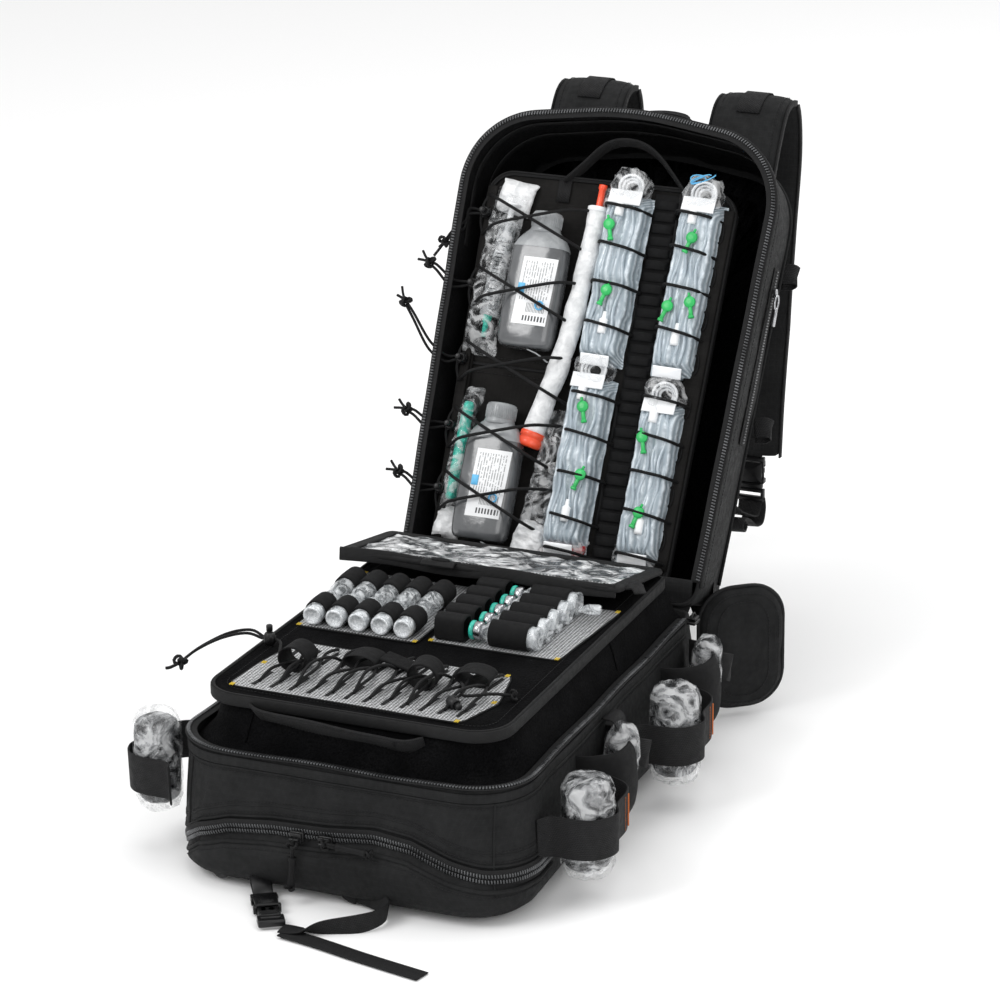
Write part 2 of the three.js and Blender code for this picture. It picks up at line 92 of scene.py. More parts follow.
class Graph:
    """Short calls for the nodes of one material."""

    def __init__(self, tree: bpy.types.NodeTree) -> None:
        """Keeps the tree and starts its coordinates."""
        self.tree = tree
        self.where = tree.nodes.new("ShaderNodeTexCoord")

    def node(self, kind: str, **values: object) -> bpy.types.Node:
        """Adds a node and sets its plain properties."""
        made = self.tree.nodes.new(kind)
        for key, value in values.items():
            setattr(made, key, value)
        return made

    def feed(self, socket: bpy.types.NodeSocket, value: object) -> None:
        """Links a socket to an output, or sets its value."""
        if isinstance(value, bpy.types.NodeSocket):
            self.tree.links.new(value, socket)
        else:
            socket.default_value = value

    def maths(self, operation: str, a: object, b: object = 0.0) -> bpy.types.NodeSocket:
        """One arithmetic step."""
        made = self.node("ShaderNodeMath", operation=operation)
        self.feed(made.inputs[0], a)
        self.feed(made.inputs[1], b)
        return made.outputs[0]

    def grain(self, pitch: float, detail: float = 3.0, warp: float = 0.0) -> bpy.types.NodeSocket:
        """Soft noise whose lumps are about pitch metres across."""
        made = self.node("ShaderNodeTexNoise")
        self.feed(made.inputs["Vector"], self.where.outputs["Object"])
        made.inputs["Scale"].default_value = 1.0 / pitch
        made.inputs["Detail"].default_value = detail
        made.inputs["Distortion"].default_value = warp
        return made.outputs["Fac"]

    def cells(self, pitch: float, feature: str = "F1") -> bpy.types.NodeSocket:
        """Distances to scattered points about pitch metres apart."""
        made = self.node("ShaderNodeTexVoronoi", feature=feature)
        self.feed(made.inputs["Vector"], self.where.outputs["Object"])
        made.inputs["Scale"].default_value = 1.0 / pitch
        return made.outputs["Distance"]

    def across(self) -> tuple[bpy.types.NodeSocket, bpy.types.NodeSocket]:
        """The two flat coordinates of the surface, in metres."""
        split = self.node("ShaderNodeSeparateXYZ")
        self.feed(split.inputs[0], self.where.outputs["UV"])
        return split.outputs[0], split.outputs[1]

    def ripple(self, along: object, pitch: float) -> bpy.types.NodeSocket:
        """A sine from 0 to 1 along a coordinate."""
        turn = self.maths("MULTIPLY", along, 2 * pi / pitch)
        return self.maths("MULTIPLY_ADD", self.maths("SINE", turn), 0.5)

    def window(self, value: object, low: float, high: float) -> bpy.types.NodeSocket:
        """1 where a value lies between two limits, and 0 elsewhere."""
        return self.maths(
            "MULTIPLY", self.maths("GREATER_THAN", value, low), self.maths("LESS_THAN", value, high)
        )

    def spread(
        self, value: object, low: float, high: float, to_low: float, to_high: float
    ) -> bpy.types.NodeSocket:
        """Maps a range of values onto another."""
        made = self.node("ShaderNodeMapRange")
        for socket, given in zip(made.inputs, (value, low, high, to_low, to_high)):
            self.feed(socket, given)
        return made.outputs[0]

    def blend(self, share: object, a: object, b: object) -> bpy.types.NodeSocket:
        """A mix of two colours."""
        made = self.node("ShaderNodeMix", data_type="RGBA")
        self.feed(made.inputs["Factor"], share)
        for name, colour in (("A", a), ("B", b)):
            socket = next(s for s in made.inputs if s.name == name and s.type == "RGBA")
            self.feed(socket, colour if isinstance(colour, bpy.types.NodeSocket) else (*colour, 1.0))
        return next(s for s in made.outputs if s.type == "RGBA")


@dataclass(frozen=True)
class Finish:
    """One material: its colours, gloss and weave.

    The pitch is the size of one repeat of the weave in metres, and relief its bump.
    """

    name: str
    slot: str
    colour: Colour
    second: Colour
    weave: Weave = Weave.SMOOTH
    pitch: float = 0.0015
    relief: float = 0.25
    rough: tuple[float, float] = (0.6, 0.8)
    sheen: float = 0.0
    coat: float = 0.0
    metal: float = 0.0
    veil: tuple[float, float] | None = None
    specular: float = 0.5

    def pattern(self, g: Graph) -> tuple[bpy.types.NodeSocket, bpy.types.NodeSocket]:
        """The weave as a colour mask and a height.

        Args:
            g: the graph that the nodes go into.

        Returns:
            The mask between the two colours, and the height of the bump.
        """
        cloudy = g.grain(0.03, 4)
        if self.weave is Weave.CORDURA:
            u, v = g.across()
            threads = g.maths("MULTIPLY", g.ripple(u, self.pitch), g.ripple(v, self.pitch))
            line = g.maths(
                "MAXIMUM",
                g.window(g.maths("PINGPONG", u, 0.003), -1, 0.00022),
                g.window(g.maths("PINGPONG", v, 0.003), -1, 0.00022),
            )
            height = g.maths("ADD", g.maths("ADD", g.grain(0.0016), threads), g.maths("MULTIPLY", line, 0.7))
            mask = g.maths("ADD", g.spread(cloudy, 0.3, 0.7, 0.0, 0.6), g.maths("MULTIPLY", line, 0.35))
            return mask, height
        if self.weave is Weave.PILE:
            loops = g.cells(self.pitch)
            height = g.maths("ADD", loops, g.maths("MULTIPLY", g.grain(0.004), 0.8))
            return g.maths(
                "MULTIPLY", g.spread(cloudy, 0.35, 0.65, 0.25, 1.0), g.spread(loops, 0.1, 0.9, 1.0, 0.0)
            ), height
        if self.weave is Weave.RIBBED:
            u, v = g.across()
            ribs = g.ripple(u, self.pitch)
            twill = g.ripple(g.maths("ADD", v, g.maths("MULTIPLY", u, 0.6)), self.pitch * 1.3)
            height = g.maths("ADD", ribs, g.maths("MULTIPLY", twill, 0.6))
            return g.maths("MULTIPLY", height, 0.5), height
        if self.weave is Weave.BRAID:
            u, v = g.across()
            one = g.ripple(g.maths("ADD", u, v), self.pitch)
            two = g.ripple(g.maths("SUBTRACT", u, v), self.pitch)
            height = g.maths("MAXIMUM", one, two)
            return height, height
        if self.weave is Weave.GRID:
            u, v = g.across()
            bars = [g.window(g.maths("PINGPONG", c, self.pitch / 2), -1, self.pitch * 0.17) for c in (u, v)]
            line = g.maths("MAXIMUM", *bars)
            speck = g.spread(g.grain(0.0022, 2), 0.42, 0.62, 0.0, 1.0)
            return g.maths("MULTIPLY", line, g.maths("MULTIPLY_ADD", speck, 0.6)), line
        if self.weave is Weave.LABEL:
            u, v = g.across()
            return self.print_mask(g, u, v), g.grain(0.002)
        if self.weave in (Weave.CRINKLE, Weave.FOIL):
            folds = g.cells(self.pitch * 3, "DISTANCE_TO_EDGE")
            fine = g.grain(self.pitch, 5, 1.6)
            height = g.maths("ADD", g.spread(folds, 0.0, 0.25, 1.0, 0.0), fine)
            # For the foil window this mask lays painted reflections between its dark and near-white colours;
            # for the other crinkled finishes it is only random tone.
            return g.spread(g.grain(self.pitch * 2, 3, 2.5), 0.42, 0.62, 0.0, 1.0), height
        if self.weave is Weave.BLISTER:
            u, _ = g.across()
            ribs = g.ripple(u, self.pitch)
            return g.maths("MULTIPLY", ribs, g.spread(g.grain(0.01, 4, 1.2), 0.35, 0.65, 0.2, 1.0)), ribs
        if self.weave is Weave.PAPER:
            height = g.grain(self.pitch, 5, 0.8)
            return g.spread(g.grain(0.012, 4, 1.0), 0.35, 0.7, 0.0, 1.0), height
        return g.spread(cloudy, 0.3, 0.7, 0.0, 1.0), g.grain(self.pitch, 3)

    def print_mask(self, g: Graph, u: object, v: object) -> bpy.types.NodeSocket:
        """Rows of dashes and a block of bars, on a label from 0 to 1 both ways."""
        dashes = g.window(g.maths("FRACT", g.maths("MULTIPLY", u, 13)), 0.30, 0.72)
        words = g.window(g.maths("FRACT", g.maths("MULTIPLY", v, 9.0)), 0.07, 1.0)
        ragged = g.maths("GREATER_THAN", g.grain(0.0035, 1), 0.42)
        text = g.maths("MULTIPLY", g.maths("MULTIPLY", dashes, words), g.maths("MULTIPLY", ragged, 0.62))
        text = g.maths("MULTIPLY", text, g.window(v, 0.36, 0.94))
        text = g.maths("MULTIPLY", text, g.window(u, 0.06, 0.94))
        bars = g.maths("GREATER_THAN", g.maths("FRACT", g.maths("MULTIPLY", u, 11.3)), 0.45)
        bars = g.maths("MULTIPLY", bars, g.maths("MULTIPLY", g.window(v, 0.05, 0.13), g.window(u, 0.3, 0.95)))
        fine = g.maths("GREATER_THAN", g.maths("FRACT", g.maths("MULTIPLY", u, 23.7)), 0.5)
        fine = g.maths("MULTIPLY", fine, g.maths("MULTIPLY", g.window(v, 0.18, 0.32), g.window(u, 0.35, 0.9)))
        return g.maths("MAXIMUM", text, g.maths("MAXIMUM", bars, g.maths("MULTIPLY", fine, 0.8)))

    def material(self) -> bpy.types.Material:
        """Makes the material, once.

        Returns:
            The node material of this finish.
        """
        title = f"{self.name}_finish"
        found = bpy.data.materials.get(title)
        if found:
            return found
        made = bpy.data.materials.new(title)
        made.use_nodes = True
        g = Graph(made.node_tree)
        shader = made.node_tree.nodes["Principled BSDF"]
        mask, height = self.pattern(g)
        g.feed(shader.inputs["Base Color"], g.blend(mask, self.colour, self.second))
        g.feed(shader.inputs["Roughness"], g.spread(g.grain(0.006, 4), 0.3, 0.7, *self.rough))
        bump = g.node("ShaderNodeBump")
        bump.inputs["Strength"].default_value = self.relief
        bump.inputs["Distance"].default_value = self.pitch * 0.4
        g.feed(bump.inputs["Height"], height)
        g.feed(shader.inputs["Normal"], bump.outputs[0])
        shader.inputs["Sheen Weight"].default_value = self.sheen
        shader.inputs["Sheen Roughness"].default_value = 0.45
        shader.inputs["Coat Weight"].default_value = self.coat
        shader.inputs["Coat Roughness"].default_value = 0.12
        shader.inputs["Metallic"].default_value = self.metal
        shader.inputs["Specular IOR Level"].default_value = self.specular
        if self.veil is not None:
            g.feed(shader.inputs["Alpha"], g.spread(mask, 0.0, 1.0, *self.veil))
        return made


NYLON = Finish(
    "nylon", "nylon", (0.0075, 0.0077, 0.0080), (0.0165, 0.0168, 0.0172), Weave.CORDURA, 0.0008, 0.5,
    (0.62, 0.85), specular=0.18
)
LINING = Finish(
    "lining", "nylon", (0.0035, 0.0035, 0.0038), (0.0090, 0.0090, 0.0095), Weave.CORDURA, 0.0006, 0.4,
    (0.45, 0.65), specular=0.2
)
BOARD = Finish(
    "board_cloth", "velour", (0.0085, 0.0080, 0.0077), (0.0180, 0.0172, 0.0166), Weave.CORDURA, 0.0011, 0.5,
    (0.7, 0.9), specular=0.12
)
VELOUR = Finish(
    "velour", "velour", (0.0016, 0.0016, 0.0018), (0.0068, 0.0068, 0.0073), Weave.PILE, 0.0018, 0.9, (0.9, 1.0),
    specular=0.05
)
WEBBING = Finish(
    "webbing", "webbing", (0.0060, 0.0060, 0.0064), (0.0175, 0.0175, 0.0182), Weave.RIBBED, 0.0017, 0.6,
    (0.6, 0.8), specular=0.2
)
BINDING = Finish(
    "binding", "webbing", (0.0060, 0.0060, 0.0063), (0.0165, 0.0165, 0.0170), Weave.RIBBED, 0.0012, 0.5,
    (0.6, 0.75), specular=0.2
)
ELASTIC = Finish(
    "elastic", "elastic", (0.0050, 0.0050, 0.0053), (0.0130, 0.0130, 0.0136), Weave.RIBBED, 0.0010, 0.6,
    (0.7, 0.85), specular=0.16
)
SHOCK_CORD = Finish(
    "shock_cord", "elastic", (0.0025, 0.0025, 0.0028), (0.0105, 0.0105, 0.011), Weave.BRAID, 0.0014, 0.5,
    (0.5, 0.7), specular=0.2
)
PLASTIC = Finish(
    "moulded_black", "hardware", (0.0040, 0.0040, 0.0045), (0.0080, 0.0080, 0.0085), Weave.SMOOTH, 0.0009, 0.12,
    (0.28, 0.45), specular=0.35
)
TEETH = Finish(
    "coil_teeth", "hardware", (0.025, 0.026, 0.028), (0.11, 0.113, 0.118), Weave.SMOOTH, 0.0006, 0.1,
    (0.2, 0.38), metal=0.2, specular=0.6
)
STEEL = Finish(
    "steel", "hardware", (0.32, 0.33, 0.34), (0.5, 0.5, 0.52), Weave.SMOOTH, 0.0006, 0.05, (0.15, 0.3),
    metal=1.0
)
GRID_CLOTH = Finish(
    "grid_laminate", "elastic", (0.020, 0.020, 0.021), (0.60, 0.61, 0.62), Weave.GRID, 0.0032, 0.3, (0.3, 0.5),
    coat=0.2
)
FILM = Finish(
    "clear_film", "wrap", (0.60, 0.62, 0.64), (0.95, 0.96, 0.97), Weave.CRINKLE, 0.012, 0.5, (0.04, 0.12),
    veil=(0.03, 0.42), specular=1.0
)
GAUZE = Finish(
    "rolled_gauze", "wrap", (0.012, 0.012, 0.013), (0.15, 0.155, 0.16), Weave.CRINKLE, 0.012, 0.5, (0.10, 0.25),
    specular=0.9
)
GLASS = Finish(
    "clear_glass", "clear_plastic", (0.45, 0.48, 0.50), (0.90, 0.93, 0.95), Weave.CRINKLE, 0.007, 0.25,
    (0.03, 0.08), veil=(0.22, 0.55), specular=1.0, coat=0.6
)
GLASS_END = Finish(
    "frosted_end", "clear_plastic", (0.55, 0.58, 0.60), (0.86, 0.88, 0.90), Weave.CRINKLE, 0.002, 0.4,
    (0.1, 0.25), specular=0.8, coat=0.4
)
BOTTLE = Finish(
    "grey_bottle", "bottle_plastic", (0.060, 0.063, 0.067), (0.115, 0.120, 0.126), Weave.SMOOTH, 0.008, 0.1,
    (0.12, 0.24), coat=0.5, specular=0.7
)
BOTTLE_TOP = Finish(
    "clear_shoulder", "bottle_plastic", (0.24, 0.25, 0.26), (0.42, 0.44, 0.45), Weave.SMOOTH, 0.006, 0.1,
    (0.15, 0.3), veil=(0.75, 0.9), coat=0.4
)
LABEL = Finish(
    "printed_label", "paper", (0.80, 0.81, 0.82), (0.05, 0.05, 0.055), Weave.LABEL, 0.002, 0.05, (0.4, 0.55)
)
BLUE = Finish(
    "blue_mark", "paper", (0.10, 0.42, 0.72), (0.14, 0.50, 0.80), Weave.SMOOTH, 0.002, 0.05, (0.4, 0.5)
)
PAPER = Finish(
    "white_wrap", "paper", (0.62, 0.63, 0.64), (0.86, 0.865, 0.87), Weave.PAPER, 0.006, 0.55, (0.35, 0.6)
)
BLISTER = Finish(
    "blister", "blister", (0.42, 0.50, 0.56), (0.78, 0.85, 0.90), Weave.BLISTER, 0.0095, 0.3, (0.1, 0.3),
    veil=(0.72, 0.95), coat=0.3, specular=0.7
)
WHITE = Finish(
    "white_plastic", "clear_plastic", (0.78, 0.80, 0.82), (0.9, 0.91, 0.92), Weave.SMOOTH, 0.003, 0.1,
    (0.25, 0.4), coat=0.2
)
GREEN = Finish(
    "green_plastic", "teal", (0.01, 0.33, 0.07), (0.015, 0.50, 0.11), Weave.SMOOTH, 0.002, 0.15, (0.3, 0.5),
    coat=0.2
)
TEAL = Finish(
    "teal_plastic", "teal", (0.01, 0.36, 0.27), (0.03, 0.55, 0.42), Weave.CRINKLE, 0.004, 0.35, (0.2, 0.4),
    coat=0.3
)
RED = Finish(
    "red_wrap", "wrap", (0.38, 0.008, 0.012), (0.62, 0.06, 0.06), Weave.CRINKLE, 0.004, 0.5, (0.15, 0.35),
    coat=0.3
)
VERMILION = Finish(
    "vermilion", "paper", (0.85, 0.06, 0.015), (0.95, 0.11, 0.04), Weave.SMOOTH, 0.003, 0.1, (0.25, 0.4),
    coat=0.3
)
ORANGE = Finish(
    "orange_thread", "webbing", (0.60, 0.13, 0.02), (0.85, 0.24, 0.05), Weave.RIBBED, 0.0009, 0.7, (0.6, 0.8)
)
YELLOW = Finish(
    "yellow_thread", "webbing", (0.70, 0.48, 0.02), (0.85, 0.62, 0.05), Weave.RIBBED, 0.0009, 0.6, (0.6, 0.8)
)
THREAD = Finish(
    "black_thread", "nylon", (0.008, 0.008, 0.0085), (0.022, 0.022, 0.023), Weave.RIBBED, 0.0007, 0.5,
    (0.5, 0.7), specular=0.2
)
# The foil window's dark and near-white colours, mixed by crinkle noise, are painted reflections of the crumpled
# foil; its low metal and gloss give only a little real shine.
FOIL = Finish(
    "foil_window", "window", (0.07, 0.075, 0.08), (0.92, 0.93, 0.94), Weave.FOIL, 0.016, 0.8, (0.06, 0.18),
    metal=0.25, specular=0.9
)


def dress(obj: bpy.types.Object, finish: Finish) -> bpy.types.Object:
    """Gives an object one finish."""
    obj.data.materials.clear()
    obj.data.materials.append(finish.material())
    return obj


# ---- curves -------------------------------------------------------------------------


def vec(p: Point) -> Vector:
    """A three-part vector, flat points lying at zero."""
    return Vector((p[0], p[1], p[2] if len(p) > 2 else 0.0))


def rounded(corners: Sequence[Point], radii: Sequence[float], steps: int = 8) -> list[Vector]:
    """Rounds each corner of a counter-clockwise polygon.

    Args:
        corners: the polygon's corners.
        radii: each corner's radius.
        steps: spans in each arc.

    Returns:
        The outline's points.
    """
    points: list[Vector] = []
    count = len(corners)
    for i in range(count):
        corner = vec(corners[i]).to_2d()
        before = (vec(corners[i - 1]).to_2d() - corner).normalized()
        after = (vec(corners[(i + 1) % count]).to_2d() - corner).normalized()
        half = acos(max(-1.0, min(1.0, before.dot(after)))) / 2
        centre = corner + (before + after).normalized() * (radii[i] / sin(half))
        start = corner + before * (radii[i] / tan(half)) - centre
        for k in range(steps + 1):
            arm = start.copy()
            arm.rotate(Matrix.Rotation((pi - 2 * half) * k / steps, 2))
            points.append(vec(centre + arm))
    return points


def even(points: Sequence[Vector], count: int, closed: bool = False) -> list[Vector]:
    """Spaces points evenly along a line."""
    line = list(points) + ([points[0]] if closed else [])
    reach = [0.0]
    for a, b in zip(line, line[1:]):
        reach.append(reach[-1] + (b - a).length)
    found, at = [], 0
    for k in range(count):
        goal = reach[-1] * k / (count if closed else count - 1)
        while at < len(line) - 2 and reach[at + 1] < goal:
            at += 1
        span = max(reach[at + 1] - reach[at], 1e-9)
        found.append(line[at].lerp(line[at + 1], min(1.0, (goal - reach[at]) / span)))
    return found


def smooth(points: Sequence[Point], count: int, closed: bool = False) -> list[Vector]:
    """A smooth line through points, with evenly spaced points on it."""
    knots = [vec(p) for p in points]
    size = len(knots)
    fine: list[Vector] = []
    for i in range(size if closed else size - 1):
        if closed:
            p0, p1, p2, p3 = (knots[(i + d) % size] for d in (-1, 0, 1, 2))
        else:
            p1, p2 = knots[i], knots[i + 1]
            p0 = knots[i - 1] if i else p1 * 2 - p2
            p3 = knots[i + 2] if i + 2 < size else p2 * 2 - p1
        for k in range(12):
            t = k / 12
            fine.append(
                0.5 * (
                    2 * p1 + (p2 - p0) * t + (
                        2 * p0 - 5 * p1 + 4 * p2 - p3
                    ) * t * t + (3 * p1 - p0 - 3 * p2 + p3) * t ** 3
                )
            )
    if not closed:
        fine.append(knots[-1])
    return even(fine, count, closed)


def turns(count: int) -> list[float]:
    """Equal steps of angle round one turn."""
    return [2 * pi * k / count for k in range(count)]


def aimed(aim: Aim, k: int) -> Vector:
    """A direction given once, or worked out at each point."""
    return aim(k) if callable(aim) else aim


def length_of(points: Sequence[Vector]) -> float:
    """The length of a line."""
    return sum((b - a).length for a, b in zip(points, points[1:]))


# ---- meshes -------------------------------------------------------------------------


class Mesh:
    """Vertices, faces and flat coordinates gathered for one piece."""

    def __init__(self) -> None:
        """Starts empty."""
        self.points: list[Vector] = []
        self.faces: list[tuple[int, ...]] = []
        self.flat: list[tuple[float, float]] = []

    def grid(
        self, rows: Sequence[Sequence[Vector]], wrap: bool = False, loop: bool = False, caps: bool = False
    ) -> Mesh:
        """Adds rows of points joined into quads.

        Args:
            rows: rows of equal length.
            wrap: whether each row closes on itself.
            loop: whether the last row joins the first.
            caps: whether the first and last rows are filled.

        Returns:
            The mesh itself.
        """
        base, width = len(self.points), len(rows[0])
        down = 0.0
        for r, row in enumerate(rows):
            if r:
                down += sum((row[i] - rows[r - 1][i]).length for i in (0, width // 2)) / 2
            over = 0.0
            for i, p in enumerate(row):
                if i:
                    over += (p - row[i - 1]).length
                self.points.append(p)
                self.flat.append((over * MM, down * MM))
        for r in range(len(rows) if loop else len(rows) - 1):
            low, high = base + r * width, base + ((r + 1) % len(rows)) * width
            for i in range(width if wrap else width - 1):
                j = (i + 1) % width
                self.faces.append((low + i, low + j, high + j, high + i))
        if caps:
            for start, flip in ((base, True), (base + (len(rows) - 1) * width, False)):
                ring = list(range(start, start + width))
                hub = len(self.points)
                middle = sum((self.points[k] for k in ring), Vector()) / width
                self.points.append(middle)
                self.flat.append(self.flat[start])
                for i in range(width if wrap else width - 1):
                    a, b = ring[i], ring[(i + 1) % width]
                    self.faces.append((hub, b, a) if flip else (hub, a, b))
        return self

    def tube(
        self, path: Sequence[Vector], radius: float | Callable[[float], float], sides: int = 8,
        closed: bool = False
    ) -> Mesh:
        """Adds a round tube along a path, whose radius may vary from 0 to 1 along it."""
        rows = []
        count = len(path)
        for k, (centre, right, up) in enumerate(carried(path, closed)):
            r = radius(k / (count - 1)) if callable(radius) else radius
            turn = [2 * pi * s / sides for s in range(sides)]
            rows.append([centre + right * (r * cos(a)) + up * (r * sin(a)) for a in turn])
        return self.grid(rows, wrap=True, loop=closed, caps=not closed)

    def band(self, path: Sequence[Vector], lean: Aim, width: float, thick: float, closed: bool = False) -> Mesh:
        """Adds a flat strap along a path.

        Args:
            path: the middle of the strap.
            lean: the direction across the strap at each point.
            width: how wide it is.
            thick: how thick it is.
            closed: whether it joins into a loop.

        Returns:
            The mesh itself.
        """
        rows = []
        edge = min(thick * 0.5, width * 0.2)
        outline = [
            (-width / 2, -thick * 0.2), (-width / 2 + edge, -thick / 2), (0, -thick / 2),
            (width / 2 - edge, -thick / 2), (width / 2, -thick * 0.2), (width / 2, thick * 0.2),
            (width / 2 - edge, thick / 2), (0, thick / 2), (-width / 2 + edge, thick / 2),
            (-width / 2, thick * 0.2)
        ]
        count = len(path)
        for k, centre in enumerate(path):
            ahead = path[(k + 1) % count] if closed or k + 1 < count else centre
            behind = path[k - 1] if closed or k else centre
            forward = (ahead - behind).normalized()
            over = aimed(lean, k)
            over = (over - forward * over.dot(forward)).normalized()
            out = forward.cross(over)
            rows.append([centre + over * a + out * b for a, b in outline])
        return self.grid(rows, wrap=True, loop=closed, caps=not closed)

    def block(self, centre: Vector, size: Point, turn: Matrix | None = None, bevel: float = 0.25) -> Mesh:
        """Adds a small block with eased edges."""
        turn = turn or Matrix.Identity(3)
        hx, hy, hz = (s / 2 for s in size[:3])
        ease = min(hx, hy, hz) * bevel
        outline = rounded([(-hx, -hy), (hx, -hy), (hx, hy), (-hx, hy)], [ease] * 4, 2)
        rows = []
        for z, inset in ((-hz, ease), (-hz + ease, 0.0), (hz - ease, 0.0), (hz, ease)):
            ring = [Vector((p.x * (1 - inset / hx), p.y * (1 - inset / hy), z)) for p in outline]
            rows.append([centre + turn @ p for p in ring])
        return self.grid(rows, wrap=True, caps=True)

    def lathe(self, profile: Sequence[tuple[float, float]], place: Matrix, sides: int = 24) -> Mesh:
        """Adds a turned shape about its own z axis, from radius and height pairs."""
        rows = []
        for r, z in profile:
            turn = [2 * pi * s / sides for s in range(sides)]
            rows.append([place @ Vector((r * cos(a), r * sin(a), z)) for a in turn])
        return self.grid(rows, wrap=True, caps=True)

    def piece(self, name: str, finish: Finish, shade: bool = True) -> bpy.types.Object:
        """Makes the object, in metres and dressed.

        Args:
            name: the piece's name.
            finish: its finish.
            shade: whether it is shaded smooth.

        Returns:
            The object, linked into the scene.
        """
        data = bpy.data.meshes.new(name)
        data.from_pydata([tuple(p * MM) for p in self.points], [], self.faces)
        layer = data.uv_layers.new(name="flat")
        for corner in data.loops:
            layer.data[corner.index].uv = self.flat[corner.vertex_index]
        data.validate()
        data.polygons.foreach_set("use_smooth", [shade] * len(data.polygons))
        made = bpy.data.objects.new(name, data)
        bpy.context.scene.collection.objects.link(made)
        bpy.context.view_layer.objects.active = made
        return dress(made, finish)


def carried(path: Sequence[Vector], closed: bool = False) -> list[tuple[Vector, Vector, Vector]]:
    """A frame at each point of a path, carried along without twisting."""
    count = len(path)
    frames = []
    right: Vector | None = None
    for k, centre in enumerate(path):
        ahead = path[(k + 1) % count] if closed or k + 1 < count else centre
        behind = path[k - 1] if closed or k else centre
        forward = (ahead - behind).normalized()
        if right is None:
            side = Vector((0, 0, 1)) if abs(forward.z) < 0.9 else Vector((1, 0, 0))
            right = forward.cross(side).normalized()
        right = (right - forward * right.dot(forward)).normalized()
        frames.append((centre, right, forward.cross(right)))
    return frames


def crumple(obj: bpy.types.Object, size: float, reach: float, seed: float = 0.0) -> bpy.types.Object:
    """Pushes a mesh's points in and out by noise, as crinkled film or slack cloth."""
    spots = [v.co.copy() for v in obj.data.vertices]
    outs = [v.normal.copy() for v in obj.data.vertices]
    shift = Vector((seed, seed * 0.7, -seed))
    moved: list[float] = []
    for spot, out in zip(spots, outs):
        p = spot / (size * MM) + shift
        moved.extend(spot + out * (noise.noise(p) + 0.5 * noise.noise(p * 2.3)) * reach * MM)
    obj.data.vertices.foreach_set("co", moved)
    obj.data.update()
    return obj


def finer(obj: bpy.types.Object, levels: int = 1) -> bpy.types.Object:
    """Rounds a mesh with applied subdivision."""
    step = obj.modifiers.new("round", "SUBSURF")
    step.levels = step.render_levels = levels
    shape = obj.evaluated_get(bpy.context.evaluated_depsgraph_get())
    data = bpy.data.meshes.new_from_object(shape)
    obj.modifiers.clear()
    obj.data = data
    return obj


def box_mm(node: str) -> tuple[Vector, Vector]:
    """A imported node's corners, in millimetres."""
    low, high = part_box(node)
    return low / MM, high / MM


def axes(z: Vector, x: Vector | None = None) -> Matrix:
    """A turn whose third axis is z, and whose first lies near x."""
    z = z.normalized()
    hint = x or (Vector((1, 0, 0)) if abs(z.x) < 0.9 else Vector((0, 1, 0)))
    x = (hint - z * hint.dot(z)).normalized()
    return Matrix((x, z.cross(x), z)).transposed()


def placed(at: Vector, z: Vector, x: Vector | None = None) -> Matrix:
    """A place and turn together."""
    return Matrix.Translation(at) @ axes(z, x).to_4x4()


# ---- small parts ----------------------------------------------------------------------


def stitches(mesh: Mesh, path: Sequence[Vector], out: Aim, pitch: float = 3.4, size: float = 0.55) -> Mesh:
    """Adds a row of short threads along a path, each standing a little off the cloth."""
    count = max(2, int(length_of(path) / pitch))
    line = even(path, count * 2)
    share = (len(path) - 1) / max(1, len(line) - 1)
    for k in range(0, len(line) - 1, 2):
        a, b = line[k], line[k].lerp(line[k + 1], 1.25)
        ahead = (b - a).normalized()
        up = aimed(out, min(len(path) - 1, int(k * share)))
        mesh.block((a + b) / 2 + up * size * 0.2, ((b - a).length, size * 1.1, size), axes(up, ahead), 0.45)
    return mesh


def coil(mesh: Mesh, path: Sequence[Vector], over: Aim, pitch: float = 2.9, width: float = 3.6) -> Mesh:
    """Adds the teeth of a zip along a path, each lying across it."""
    total = length_of(path)
    count = int(total / pitch)
    line = even(path, count)
    share = (len(path) - 1) / max(1, count - 1)
    for k in range(1, count - 1):
        ahead = (line[k + 1] - line[k - 1]).normalized()
        side = aimed(over, min(len(path) - 1, int(k * share)))
        side = (side - ahead * side.dot(ahead)).normalized()
        up = ahead.cross(side)
        lean = (ahead + side * 0.18).normalized()
        mesh.block(line[k], (pitch * 0.52, width, 1.9), axes(up, lean), 0.5)
    return mesh


def knot(mesh: Mesh, at: Vector, ahead: Vector, cord: float) -> Mesh:
    """Adds an overhand knot in a cord at a point."""
    turn = axes(ahead)
    path = []
    for k in range(25):
        t = 2 * pi * k / 24
        p = Vector((sin(t) + 2 * sin(2 * t), cos(t) - 2 * cos(2 * t), -1.3 * sin(3 * t)))
        path.append(at + turn @ (p * cord * 0.62))
    return mesh.tube(path[:-1], cord * 0.5, 6, closed=True)


# ---- outlines shared by the two halves --------------------------------------------------


